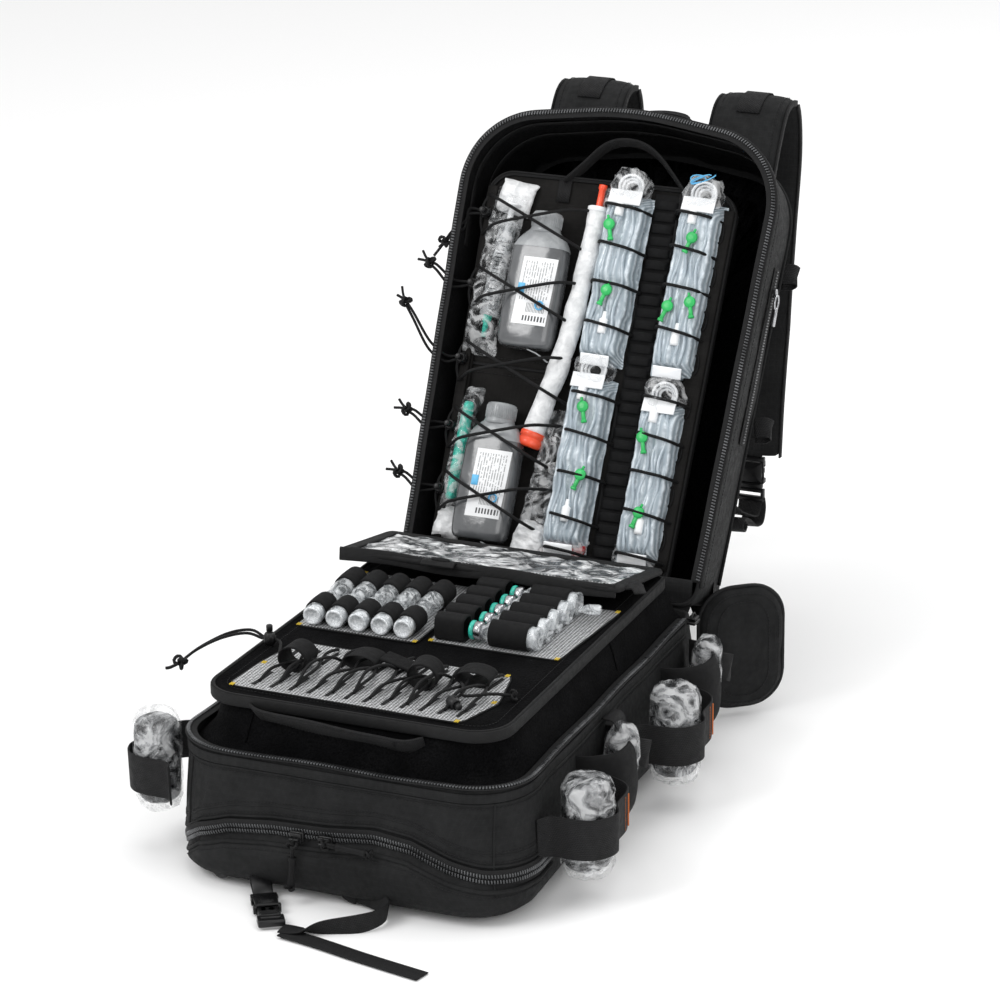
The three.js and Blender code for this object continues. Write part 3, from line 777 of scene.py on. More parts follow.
@dataclass(frozen=True)
class Plan:
    """The pack's plan sizes, in millimetres."""

    top_half: float = 168.0
    hinge_half: float = 156.0
    upper_length: float = 462.0
    crown: float = 22.0
    front: float = -240.0
    hinge_y: float = 237.0
    hinge_z: float = 130.0
    lean: float = 28.0
    points: int = 288

    def lower(self, inset: float) -> list[Vector]:
        """The lower half's outline, evenly spaced."""
        a, b = self.top_half - inset, self.hinge_half - inset
        y0, y1 = self.front + inset, -self.front - inset
        r, s = max(54 - inset, 6), max(18 - inset * 0.6, 4)
        return even(rounded([(b, y1), (-b, y1), (-a, y0), (a, y0)], [s, s, r, r], 12), self.points, True)

    def neck(self, inset: float, radius: float) -> list[Vector]:
        """The liner's outline above the zip, rounder in front."""
        a, b = self.top_half - inset, self.hinge_half - inset
        y0, y1 = self.front + inset + 4, -self.front - inset
        return even(
            rounded([(b, y1), (-b, y1), (-a, y0), (a, y0)], [8, 8, radius, radius], 12), self.points, True
        )

    def upper(self, inset: float) -> list[Vector]:
        """The upper half's outline in its own frame, evenly spaced."""
        a, b = self.top_half - inset, self.hinge_half - inset
        end = self.upper_length - inset
        r, s = max(78 - inset, 8), max(18 - inset * 0.6, 4)
        keep = min(1.0, a / 138)
        corners = [(b, inset), (a, end), (0, end + self.crown * keep), (-a, end), (-b, inset)]
        return even(rounded(corners, [s, r, 300 * keep, r, s], 12), self.points, True)

    def tilt(self, x: float, u: float, w: float) -> Vector:
        """A point of the upper half, from across, up the pack and out of its mouth."""
        s, c = sin(radians(self.lean)), cos(radians(self.lean))
        return Vector((x, self.hinge_y + s * u - c * w, self.hinge_z + c * u + s * w))

    def turn(self, v: Point) -> Vector:
        """A direction of the upper half's frame, in the object's frame."""
        return self.tilt(*v) - self.tilt(0, 0, 0)


PLAN = Plan()
UP = Vector((0, 0, 1))


def outward(ring: Sequence[Vector], i: int) -> Vector:
    """The flat direction out of a counter-clockwise ring at a point."""
    count = len(ring)
    ahead = ring[(i + 1) % count] - ring[i - 1]
    return Vector((ahead.y, -ahead.x, 0)).normalized()


def reported(body: str, *objects: bpy.types.Object) -> None:
    """Makes pieces ride on a body and reports them."""
    for obj in objects:
        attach(obj, body)
        LOG.info("%s rides on %s", obj.name, body)


def buckle_half(mesh: Mesh, place: Matrix, width: float, tongue: bool) -> Mesh:
    """Adds one half of a side-release buckle.

    Args:
        mesh: the mesh it goes into.
        place: its place: z off the strap, y along it towards the other half.
        width: the webbing's width.
        tongue: true for the pronged half, false for the socket.

    Returns:
        The mesh itself.
    """
    turn = place.to_3x3()
    half = width / 2 + 3

    def put(x: float, y: float, z: float, sx: float, sy: float, sz: float) -> None:
        """Adds one block in the half's own place."""
        mesh.block(place @ Vector((x, y, z)), (sx, sy, sz), turn, 0.35)

    if tongue:
        put(0, 3, 0, 2 * half, 5, 6.5)
        put(0, 12, 0, 2 * half - 1, 4, 5)
        for side in (-1, 1):
            put(side * (half - 1.6), 8, 0, 3.2, 12, 6)
        put(0, 18, 0, 2 * half - 4, 7, 7.5)
        for k in range(4):
            put(0, 15.5 + 1.7 * k, 3.9, 2 * half - 9, 0.7, 0.7)
        for side in (-1, 1):
            put(side * (half - 4.5), 29, 0, 3.6, 16, 4.5)
            put(side * (half - 2.4), 35, 0, 5, 6, 5)
        put(0, 28, 0, 3, 14, 3.5)
        return mesh
    for z in (-3.6, 3.6):
        put(0, 17, z, 2 * half - 3, 22, 1.8)
        for side in (-1, 1):
            put(side * (half - 1.2), 8.5, z * 0.75, 2.6, 6, 2)
    for side in (-1, 1):
        put(side * (half - 1), 26.5, 0, 3, 5, 8)
        put(side * (half - 1.5), 7, 0, 3.2, 5, 7)
    put(0, 3, 0, 2 * half, 4.5, 7)
    put(0, 8, 0, 2 * half - 4, 3, 6)
    put(0, 17, 4.7, 9, 15, 0.8)
    for k in range(3):
        put(0, 23.5 - 1.8 * k, 5.0, 2 * half - 10, 0.7, 0.6)
    return mesh


def lock_barrel(mesh: Mesh, place: Matrix) -> Mesh:
    """Adds the body of a barrel cord lock, standing on its place."""
    profile = [
        (0.5, 0), (3.6, 0), (4.8, 1.2), (5.6, 3.4), (5.9, 6), (5.6, 8.8), (4.7, 11), (3.9, 12), (3.3, 12),
        (3.2, 10.5)
    ]
    mesh.lathe(profile, place, 20)
    for a in turns(10):
        mesh.block(
            place @ Vector((5.75 * cos(a), 5.75 * sin(a), 6)), (0.7, 0.9, 5.5),
            place.to_3x3() @ Matrix.Rotation(a, 3, "Z")
        )
    return mesh


def lock_button(mesh: Mesh, place: Matrix) -> Mesh:
    """Adds the sprung button of a cord lock."""
    return mesh.lathe([(0.3, -1.5), (3.0, -1.5), (3.1, 3.0), (2.7, 4.1), (1.6, 4.6), (0.3, 4.6)], place, 18)


class RollPlace(Enum):
    """The three rolls strapped to the sides."""

    RIGHT_FRONT = "right_front"
    RIGHT_REAR = "right_rear"
    LEFT_FRONT = "left_front"


@dataclass
class LowerBody:
    """The front half of the pack, lying on its face, with its rolls and straps."""

    rim: float = 126.0
    pocket_bulge: float = 12.0
    strap_width: float = 38.0
    compression_width: float = 18.0

    def inset(self, z: float) -> float:
        """How far the outer wall draws in at a height."""
        stops = [
            (0, 17), (3, 10), (8, 3.5), (18, -2), (40, -6), (70, -4), (100, -1.5), (118, 0), (self.rim, 0.5)
        ]
        for (z0, a), (z1, b) in zip(stops, stops[1:]):
            if z <= z1:
                return a + (b - a) * (z - z0) / (z1 - z0)
        return stops[-1][1]

    def arch(self, x: float) -> float:
        """The height of the pocket zip on the front face."""
        stops = [
            (-175, 22), (-156, 27), (-128, 47), (-100, 57), (-60, 62), (-5, 64), (40, 69), (75, 66), (112, 53),
            (140, 46), (175, 43)
        ]
        for (x0, a), (x1, b) in zip(stops, stops[1:]):
            if x <= x1:
                t = (max(x, x0) - x0) / (x1 - x0)
                return a + (b - a) * t
        return stops[-1][1]

    def bulge(self, p: Vector, out: Vector, z: float) -> float:
        """How far the filled pocket stands out below its zip."""
        if p.y > -60:
            return 0.0
        face = max(0.0, min(1.0, (-p.y - 90) / 120)) * max(0.35, -out.y)
        t = max(0.0, min(1.0, (self.arch(p.x) - 3 - z) / 16))
        under = max(0.0, min(1.0, z / 14))
        return self.pocket_bulge * face * t * t * (3 - 2 * t) * (0.35 + 0.65 * under)

    def skin(self, i: int, z: float, lift: float = 0.0) -> Vector:
        """A point of the outer wall.

        Args:
            i: which of the outline's points.
            z: the height.
            lift: how far off the cloth.

        Returns:
            The point.
        """
        ring = self.ring(self.inset(z))
        out = outward(ring, i)
        p = ring[i]
        fold = 1.5 * noise.noise(
            Vector((p.x, p.y, z * 1.3)) / 46
        ) * min(1.0, z / 12) * min(1.0, (self.rim - z) / 14 + 0.15)
        return Vector((p.x, p.y, z)) + out * (lift + fold + self.bulge(p, out, z))

    def ring(self, inset: float) -> list[Vector]:
        """The outline at an inset, kept for reuse."""
        key = round(inset, 2)
        if not hasattr(self, "_rings"):
            self._rings: dict[float, list[Vector]] = {}
        if key not in self._rings:
            self._rings[key] = PLAN.lower(key)
        return self._rings[key]

    def shell(self) -> None:
        """The nylon wall, its base and the liner of its rim."""
        heights = [0, 2, 5, 9] + [12 + 4 * k for k in range(28)] + [122, 124.5, self.rim]
        rows = [[self.skin(i, z) for i in range(PLAN.points)] for z in heights]
        inner = [(self.rim + 0.8, 2.2), (self.rim, 4.2), (90, 6), (50, 8)]
        rows += [[Vector((p.x, p.y, z)) for p in self.ring(a)] for z, a in inner]
        floor = [[Vector((p.x, p.y, 0.4)) for p in self.ring(a)] for a in (90, 40, 18)]
        wall = Mesh().grid(floor + rows, wrap=True, caps=False).piece("lower_skin", NYLON)
        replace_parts(wall, "lower_shell", "front_pocket")
        reported("lower", wall)

    def front_span(self, reach: float) -> list[int]:
        """The outline's points on the front face and round its corners."""
        ring = self.ring(0)
        return [i for i in range(PLAN.points) if ring[i].y < -240 + reach]

    def pocket_zip(self) -> None:
        """The arched pocket zip: tape, coils, piping and two rows of stitching."""
        span = self.front_span(92)
        ring = self.ring(0)

        def line(offset: float, lift: float) -> list[Vector]:
            """The zip line on the skin, moved up or down and lifted off it."""
            found = []
            for i in span:
                p = self.skin(i, max(4.0, self.arch(ring[i].x) + offset), lift)
                found.append(p)
            return even(found, 240)

        def over(_: int) -> Vector:
            """The direction across the zip."""
            return Vector((0, -0.15, 1))

        def out(k: int) -> Vector:
            """The direction out of the skin."""
            return outward(ring, span[min(len(span) - 1, int(k * len(span) / 240))])

        tape = Mesh().band(line(0, 1.0), over, 17, 1.4).piece("pocket_zip_tape", BINDING)
        teeth = Mesh()
        for offset in (-2.5, 2.5):
            coil(teeth, line(offset, 2.4), over, 2.7, 3.7)
        chain = teeth.piece("pocket_zip_coil", TEETH)
        fold = Mesh().tube(
            line(-11.5, 0.6), 2.3, 8
        ).tube(line(11.0, 0.2), 1.5, 8).tube(line(21.0, -0.5), 1.1, 6)
        piping = fold.piece("pocket_zip_piping", NYLON)
        sewn = Mesh()
        for offset, lift in ((-16, 0.4), (14.5, 0.3), (24, 0.2)):
            stitches(sewn, line(offset, lift), out)
        reported("lower", tape, chain, piping, sewn.piece("pocket_stitching", THREAD))

    def open_edge(self) -> list[int]:
        """The outline's points that carry the main zip: all but the hinge side."""
        ring = self.ring(0)
        order = [i for i in range(PLAN.points) if ring[i].y < 212]
        turn = next((k for k in range(1, len(order)) if order[k] - order[k - 1] > 1), 0)
        return order[turn:] + order[:turn]

    def main_zip(self) -> None:
        """The main zip's lower tape and teeth, with the bound edge under them."""
        ring = self.ring(2.5)
        order = self.open_edge()
        path = even([Vector((ring[i].x, ring[i].y, self.rim + 2.6 + 0.8 * sin(i * 0.23))) for i in order], 420)
        outer = [self.skin(i, self.rim - 7, 0.7) for i in order]
        span = len(order)

        def across(k: int) -> Vector:
            """The direction across the zip."""
            return outward(ring, order[min(span - 1, int(k * span / 420))])

        tape = Mesh().band([p - UP * 1.1 for p in path], across, 11, 1.2).piece("lower_zip_tape", BINDING)
        teeth = coil(Mesh(), [p + UP * 0.4 + across(k) * 2.4 for k, p in enumerate(path)], across, 2.9, 3.6)
        edge = Mesh().band(even(outer, 300), UP, 9, 1.4)
        edge.tube(even([self.skin(i, self.rim - 13, 0.2) for i in order], 300), 1.2, 6)
        sewn = stitches(
            Mesh(), even([self.skin(i, self.rim - 16.5, 0.25) for i in order], 300), Vector((0, -0.7, 0.7))
        )
        reported(
            "lower",
            tape,
            teeth.piece("lower_zip_teeth", TEETH),
            edge.piece("lower_zip_edge", NYLON),
            sewn.piece("lower_rim_stitching", THREAD),
        )

    def liner(self) -> None:
        """The padded velour walls round the compartment, with their corner seams."""
        levels = [
            (44.5, 12, None), (80, 12, None), (112, 14, None), (129, 22, 58), (150, 28, 53), (160.5, 30, 52),
            (161.7, 28, 54), (161.2, 23, 59), (158, 21, 61), (146, 18, 63), (133, 14.5, 66), (127, 12, 67),
            (123.5, 9.5, 60), (119, 7, None), (80, 6, None), (44.5, 6, None)
        ]
        rows = []
        for z, inset, radius in levels:
            ring = PLAN.lower(inset) if radius is None else PLAN.neck(inset, radius)
            rows.append(
                [Vector((p.x, p.y, z + (0.9 * noise.noise(p / 30) if 120 < z < 160 else 0.0))) for p in ring]
            )
        body = Mesh().grid(rows, wrap=True, loop=True).piece("velour_liner", VELOUR)
        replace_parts(body, "compartment_liner")
        seams = Mesh()
        low, high = PLAN.neck(13.5, 66), PLAN.neck(22, 60)
        for i in range(PLAN.points):
            p = low[i]
            if any(abs(p.x - x) < 1.2 and p.y < -150 for x in (-98, 98)) or (abs(p.y - 60) < 1.4):
                seams.tube(
                    [
                        Vector((*low[i].xy, 130)),
                        Vector((*low[i].lerp(high[i], 0.55).xy, 148)) + outward(low, i) * 0.8,
                        Vector((*high[i].xy, 161))
                    ],
                    0.7, 5
                )
        ring = PLAN.neck(25.5, 56)
        trim = Mesh().tube([Vector((p.x, p.y, 162.2)) for p in ring], 1.6, 6, closed=True)
        floor = Mesh()
        floor.grid(
            [[Vector((p.x, p.y, 45.2)) for p in PLAN.lower(a)] for a in (12, 60, 110)], wrap=True, caps=True
        )
        reported(
            "lower", body, seams.piece("liner_seams", VELOUR), trim.piece("liner_top_binding", BINDING),
            floor.piece("compartment_floor", LINING),
        )

    def roll(self, place: RollPlace) -> None:
        """One rolled dressing in its crinkled film, with the webbing that holds it."""
        low, high = box_mm(f"bandage_roll_{place.value}")
        centre = (low + high) / 2
        radius = (high.x - low.x) / 2
        height = high.z - low.z
        base = Matrix.Translation(Vector((centre.x, centre.y, low.z)))
        seed = 3.1 * list(RollPlace).index(place)
        r = radius - 3
        core = Mesh().lathe(
            [
                (1, 9), (r * 0.6, 8), (r - 3, 12), (r, 20), (r, height - 20), (r - 3, height - 12),
                (r * 0.6, height - 8), (1, height - 9)
            ],
            base, 36
        )
        gauze = crumple(finer(core.piece(f"gauze_{place.value}", GAUZE)), 14, 1.4, seed)
        ends = [(1, 3), (r * 0.5, 1), (r * 0.85, 4), (r + 0.4, 14), (r + 1.0, height * 0.3)]
        ends += [
            (r + 1.0, height * 0.7), (r + 0.4, height - 14), (r * 0.85, height - 4), (r * 0.5, height - 1),
            (1, height - 3)
        ]
        fine = [
            v.lerp(w, t)
            for v, w in zip([vec(e) for e in ends], [vec(e) for e in ends[1:]])
            for t in (0, 0.34, 0.67)
        ]
        film = Mesh().lathe(
            [(v.x, v.y) for v in fine] + [ends[-1]], base, 44
        ).piece(f"film_{place.value}", FILM)
        crumple(crumple(film, 15, 1.5, seed + 1), 7, 0.9, seed)
        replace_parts(film, f"bandage_roll_{place.value}")
        side = 1.0 if centre.x > 0 else -1.0
        reach = radius + 1.6
        middle = low.z + height * (0.47 if side > 0 else 0.42)
        wall = PLAN.top_half + 3
        stops = [
            (wall * side, centre.y - radius - 14), (wall * side + side * 9, centre.y - radius - 3),
            (centre.x + side * 4, centre.y - reach), (centre.x + side * reach * 0.72, centre.y - reach * 0.70),
            (centre.x + side * reach, centre.y), (centre.x + side * reach * 0.70, centre.y + reach * 0.72),
            (centre.x + side * reach * 0.62, centre.y + radius + 22),
            (centre.x + side * reach * 0.2, centre.y + radius + 40),
            (wall * side - side * 2, centre.y + radius + 56)
        ]
        path = smooth([(x, y, middle) for x, y in stops], 60)
        slope = Vector((0, 0.06 * side, 1))
        strap = Mesh().band(path, slope, self.strap_width, 2.0).piece(f"roll_strap_{place.value}", WEBBING)
        tack = Mesh()
        at, ahead = path[40], (path[41] - path[39]).normalized()
        out = ahead.cross(UP) * side
        for k in range(15):
            tack.block(at + out * 1.6 + UP * (k - 7) * 2.1, (2.8, 1.3, 1.5), axes(UP, ahead), 0.45)
        for back in (37, 43, 54, 57):
            stitches(tack, [path[back] + out * 1.2 + UP * h for h in (-16, 16)], out, 2.6, 0.4)
        reported("lower", gauze, film, strap, tack.piece(f"bartack_{place.value}", ORANGE))

    def sleeve(self, name: str, y: float, z: float) -> None:
        """A black elastic sleeve on the right side, with a wrapped item in it."""
        stops = [
            (164, y - 40), (181, y - 37), (203, y - 20), (208, y + 2), (200, y + 22), (182, y + 36),
            (163, y + 40)
        ]
        rows = []
        for k in range(17):
            t = k / 16
            pinch = 1 - 0.16 * abs(2 * t - 1) ** 3
            height = z - 34 + 68 * t
            ring = smooth([(160 + (x - 160) * pinch, py, height) for x, py in stops], 44)
            rows.append([p + Vector((0.8 * noise.noise(p / 11), 0, 0)) for p in ring])
        inner = [
            [Vector((160 + (p.x - 160) * 0.95, y + (p.y - y) * 0.95, p.z)) for p in row]
            for row in reversed(rows)
        ]
        cloth = Mesh().grid(rows + inner, loop=True).piece(f"elastic_sleeve_{name}", ELASTIC)
        tilt = placed(Vector((181, y + 13, z - 38)), Vector((0.10, 0.12, 1)))
        item = Mesh().lathe(
            [(1, 0), (9, 1), (15, 8), (17, 30), (17, 58), (15, 70), (12, 79), (8, 85), (3, 86)], tilt, 30
        )
        film = crumple(finer(item.piece(f"sleeve_film_{name}", FILM)), 11, 2.4, y)
        inside = Mesh().lathe([(1, 4), (11, 6), (13, 30), (13, 60), (9, 72), (1, 75)], tilt, 24)
        core = crumple(finer(inside.piece(f"sleeve_core_{name}", GAUZE)), 9, 1.2, y)
        tab = Mesh().band(
            [
                Vector((180, y + 38, z + 14)), Vector((194, y + 40, z + 12)), Vector((201, y + 47, z + 8)),
                Vector((199, y + 55, z + 4))
            ],
            UP, 26, 1.6
        )
        reported("lower", cloth, film, core, tab.piece(f"sleeve_tab_{name}", WEBBING))

    def small_tabs(self) -> None:
        """The folded webbing tab under the zip, the moulded foot and the end seams."""
        tab = Mesh().band(
            smooth([(167, -12, 118), (177, -14, 117), (180, -13, 108), (173, -10, 92)], 16),
            Vector((0, 1, 0.1)), 22, 1.8
        )
        stitches(tab, [Vector((177.5, -22, 99)), Vector((177.5, -2, 99))], Vector((1, 0, 0)), 2.4, 0.5)
        foot = Mesh().lathe(
            [(0.5, 0), (9, 0), (11.5, 1.5), (12.5, 4), (11, 6.5), (8.5, 7), (7, 5.4), (0.5, 5.2)],
            placed(Vector((-118, -236, 14)), Vector((-0.35, -0.92, -0.2))), 30
        )
        seams = Mesh()
        ring = self.ring(0)
        for i in range(PLAN.points):
            p = ring[i]
            if min(abs(p.x - x) for x in (-146, 147)) < 1.2 and p.y < -200:
                seams.tube([self.skin(i, z, 0.4) for z in range(30, 118, 6)], 1.1, 6)
        reported(
            "lower", tab.piece("side_tab", WEBBING), foot.piece("moulded_foot", PLASTIC),
            seams.piece("end_seams", NYLON)
        )

    def compression(self) -> None:
        """The front compression strap: both buckle halves, the return run and its tail."""
        ahead = Vector((0.5547, -0.832, 0))
        start = Vector((-62, -266, 5.2))
        socket = buckle_half(Mesh(), placed(start, UP, ahead.cross(UP)), 18, False)
        socket.band(
            [start + Vector((-14, 24, 16)), start + Vector((-8, 13, 8)), start + ahead * 3], ahead.cross(UP),
            18, 1.6
        )
        body = socket.piece("compression_buckle_socket", PLASTIC)
        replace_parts(body, "compression_socket")
        plug = buckle_half(
            Mesh(), placed(start + ahead * 60, UP, -ahead.cross(UP)), 18, True
        ).piece("compression_buckle_plug", PLASTIC)
        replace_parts(plug, "compression_plug")
        run = [
            (5, -232, 14), (16, -240, 12), (40, -248, 11), (58, -262, 10.5), (52, -286, 9.6), (24, -303, 6),
            (-2, -314, 3.5), (-20, -316, 3)
        ]
        path = smooth(run, 44)

        def lean(k: int) -> Vector:
            """The direction across the strap."""
            t = max(0.0, min(1.0, (k - 22) / 16))
            return (Vector((0.15, 0.1, 1)) * (1 - t) + ahead.cross(UP) * t).normalized()

        strap = Mesh().band(path, lean, self.compression_width, 1.6).piece("compression_return", WEBBING)
        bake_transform(strap)
        LOG.info("compression_return bends between lower and compression_tongue")
        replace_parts(strap, "compression_webbing")
        route = smooth([(-16, -321, 2.4), (20, -327, 1.5), (70, -339, 1.2), (132, -352, 1.2)], 30)
        tail = Mesh().band(
            route, Vector((0.2, 1, 0)), self.compression_width, 1.5
        ).piece("compression_tail", WEBBING)
        anchor = Mesh().band(
            smooth([(-3, -226, 22), (2, -236, 17), (12, -243, 12), (20, -243, 10)], 12), Vector((0.5, 0, 0.8)),
            18, 1.8
        )
        anchor.band(
            smooth([(-84, -226, 26), (-80, -238, 20), (-72, -252, 11), (-63, -264, 6)], 12),
            Vector((0.83, 0.55, 0)), 18, 1.8
        )
        reported("lower", body, anchor.piece("compression_anchors", WEBBING))
        reported("compression_tongue", plug, tail)

    def sliders(self) -> None:
        """The four zip sliders, and the knotted cord pulls of the pocket zip."""
        for side in ("right", "left"):
            low, high = box_mm(f"main_slider_{side}")
            at = (low + high) / 2
            mesh = Mesh().block(at, (9, 14, 3), None, 0.4).block(
                at + Vector((0, 0, 4)), (8.4, 11, 2.4), None, 0.4
            )
            mesh.block(at + Vector((0, 1.5, 2)), (3, 4, 4)).tube(
                smooth(
                    [
                        at + Vector((0, -5, 4)), at + Vector((0, -3, 8)), at + Vector((0, 3, 8)),
                        at + Vector((0, 5, 4))
                    ],
                    10
                ),
                1.1, 6
            )
            body = mesh.piece(f"main_zip_slider_{side}", PLASTIC)
            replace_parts(body, f"main_slider_{side}")
            reported(f"main_slider_{side}", body)
        for side in ("left", "right"):
            low, high = box_mm(f"pocket_slider_{side}")
            at = (low + high) / 2
            mesh = Mesh().block(at + Vector((0, 1.5, 0)), (13, 3, 9), None, 0.4).block(
                at + Vector((0, -2.2, 0)), (11, 2.2, 8), None, 0.4
            )
            mesh.tube(
                smooth([at + Vector((x, y, 0)) for x, y in ((-4, -3), (-3, -7), (3, -7), (4, -3))], 12), 1.3, 6
            )
            body = mesh.piece(f"pocket_zip_slider_{side}", PLASTIC)
            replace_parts(body, f"pocket_slider_{side}")
            reported(f"pocket_slider_{side}", body)
            low, high = box_mm(f"pocket_pull_{side}")
            if side == "left":
                line = [
                    Vector((-34, -260, 62)), Vector((-34, -262.5, 50)), Vector((-35, -262, 34)),
                    Vector((-37, -262, 14))
                ]
            else:
                line = [
                    Vector((-6, -259, 63)), Vector((4, -263, 64)), Vector((20, -262, 63)),
                    Vector((43, -261, 61))
                ]
            path = smooth(line, 22)
            pull = Mesh().tube(path[7:20], lambda t: 2.9 + 0.9 * (abs(2 * t - 1) ** 6), 10)
            pull.tube(
                [p + Vector((0.4, 0.2, 0.8)) for p in path[:9]], 1.4, 6
            ).tube([p - Vector((0.4, 0.2, 0.8)) for p in path[:9]], 1.4, 6)
            knot(pull, path[2], path[3] - path[1], 2.7)
            knot(pull, path[20], path[20] - path[18], 2.4)
            cord = pull.piece(f"pocket_cord_pull_{side}", SHOCK_CORD)
            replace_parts(cord, f"pocket_pull_{side}")
            reported(f"pocket_pull_{side}", cord)

    def hinge(self) -> None:
        """The fabric that joins the two halves at the hinge."""
        rows = []
        stops = [
            (232, 118, 6), (239, 124, 4), (243.5, 130, 2.4), (243.5, 137, 1.2), (242, 144, 1.0), (245, 156, 1.0)
        ]
        for y, z, narrow in stops:
            rows.append([Vector((x * (1 - narrow / 200), y, z)) for x in range(-152, 153, 8)])
        back = [[p + Vector((0, 1.8, -0.8)) for p in row] for row in reversed(rows)]
        cloth = finer(Mesh().grid(rows + back, loop=True).piece("hinge_gusset", NYLON))
        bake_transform(cloth)
        LOG.info("hinge_gusset bends between lower and upper")

    def build(self) -> None:
        """Makes the whole lower half."""
        self.shell()
        self.pocket_zip()
        self.main_zip()
        self.liner()
        for place in RollPlace:
            self.roll(place)
        self.sleeve("front", -48, 72)
        self.sleeve("rear", 168, 76)
        self.small_tabs()
        self.compression()
        self.sliders()
        self.hinge()


# ---- flap and window pouch --------------------------------------------------------------


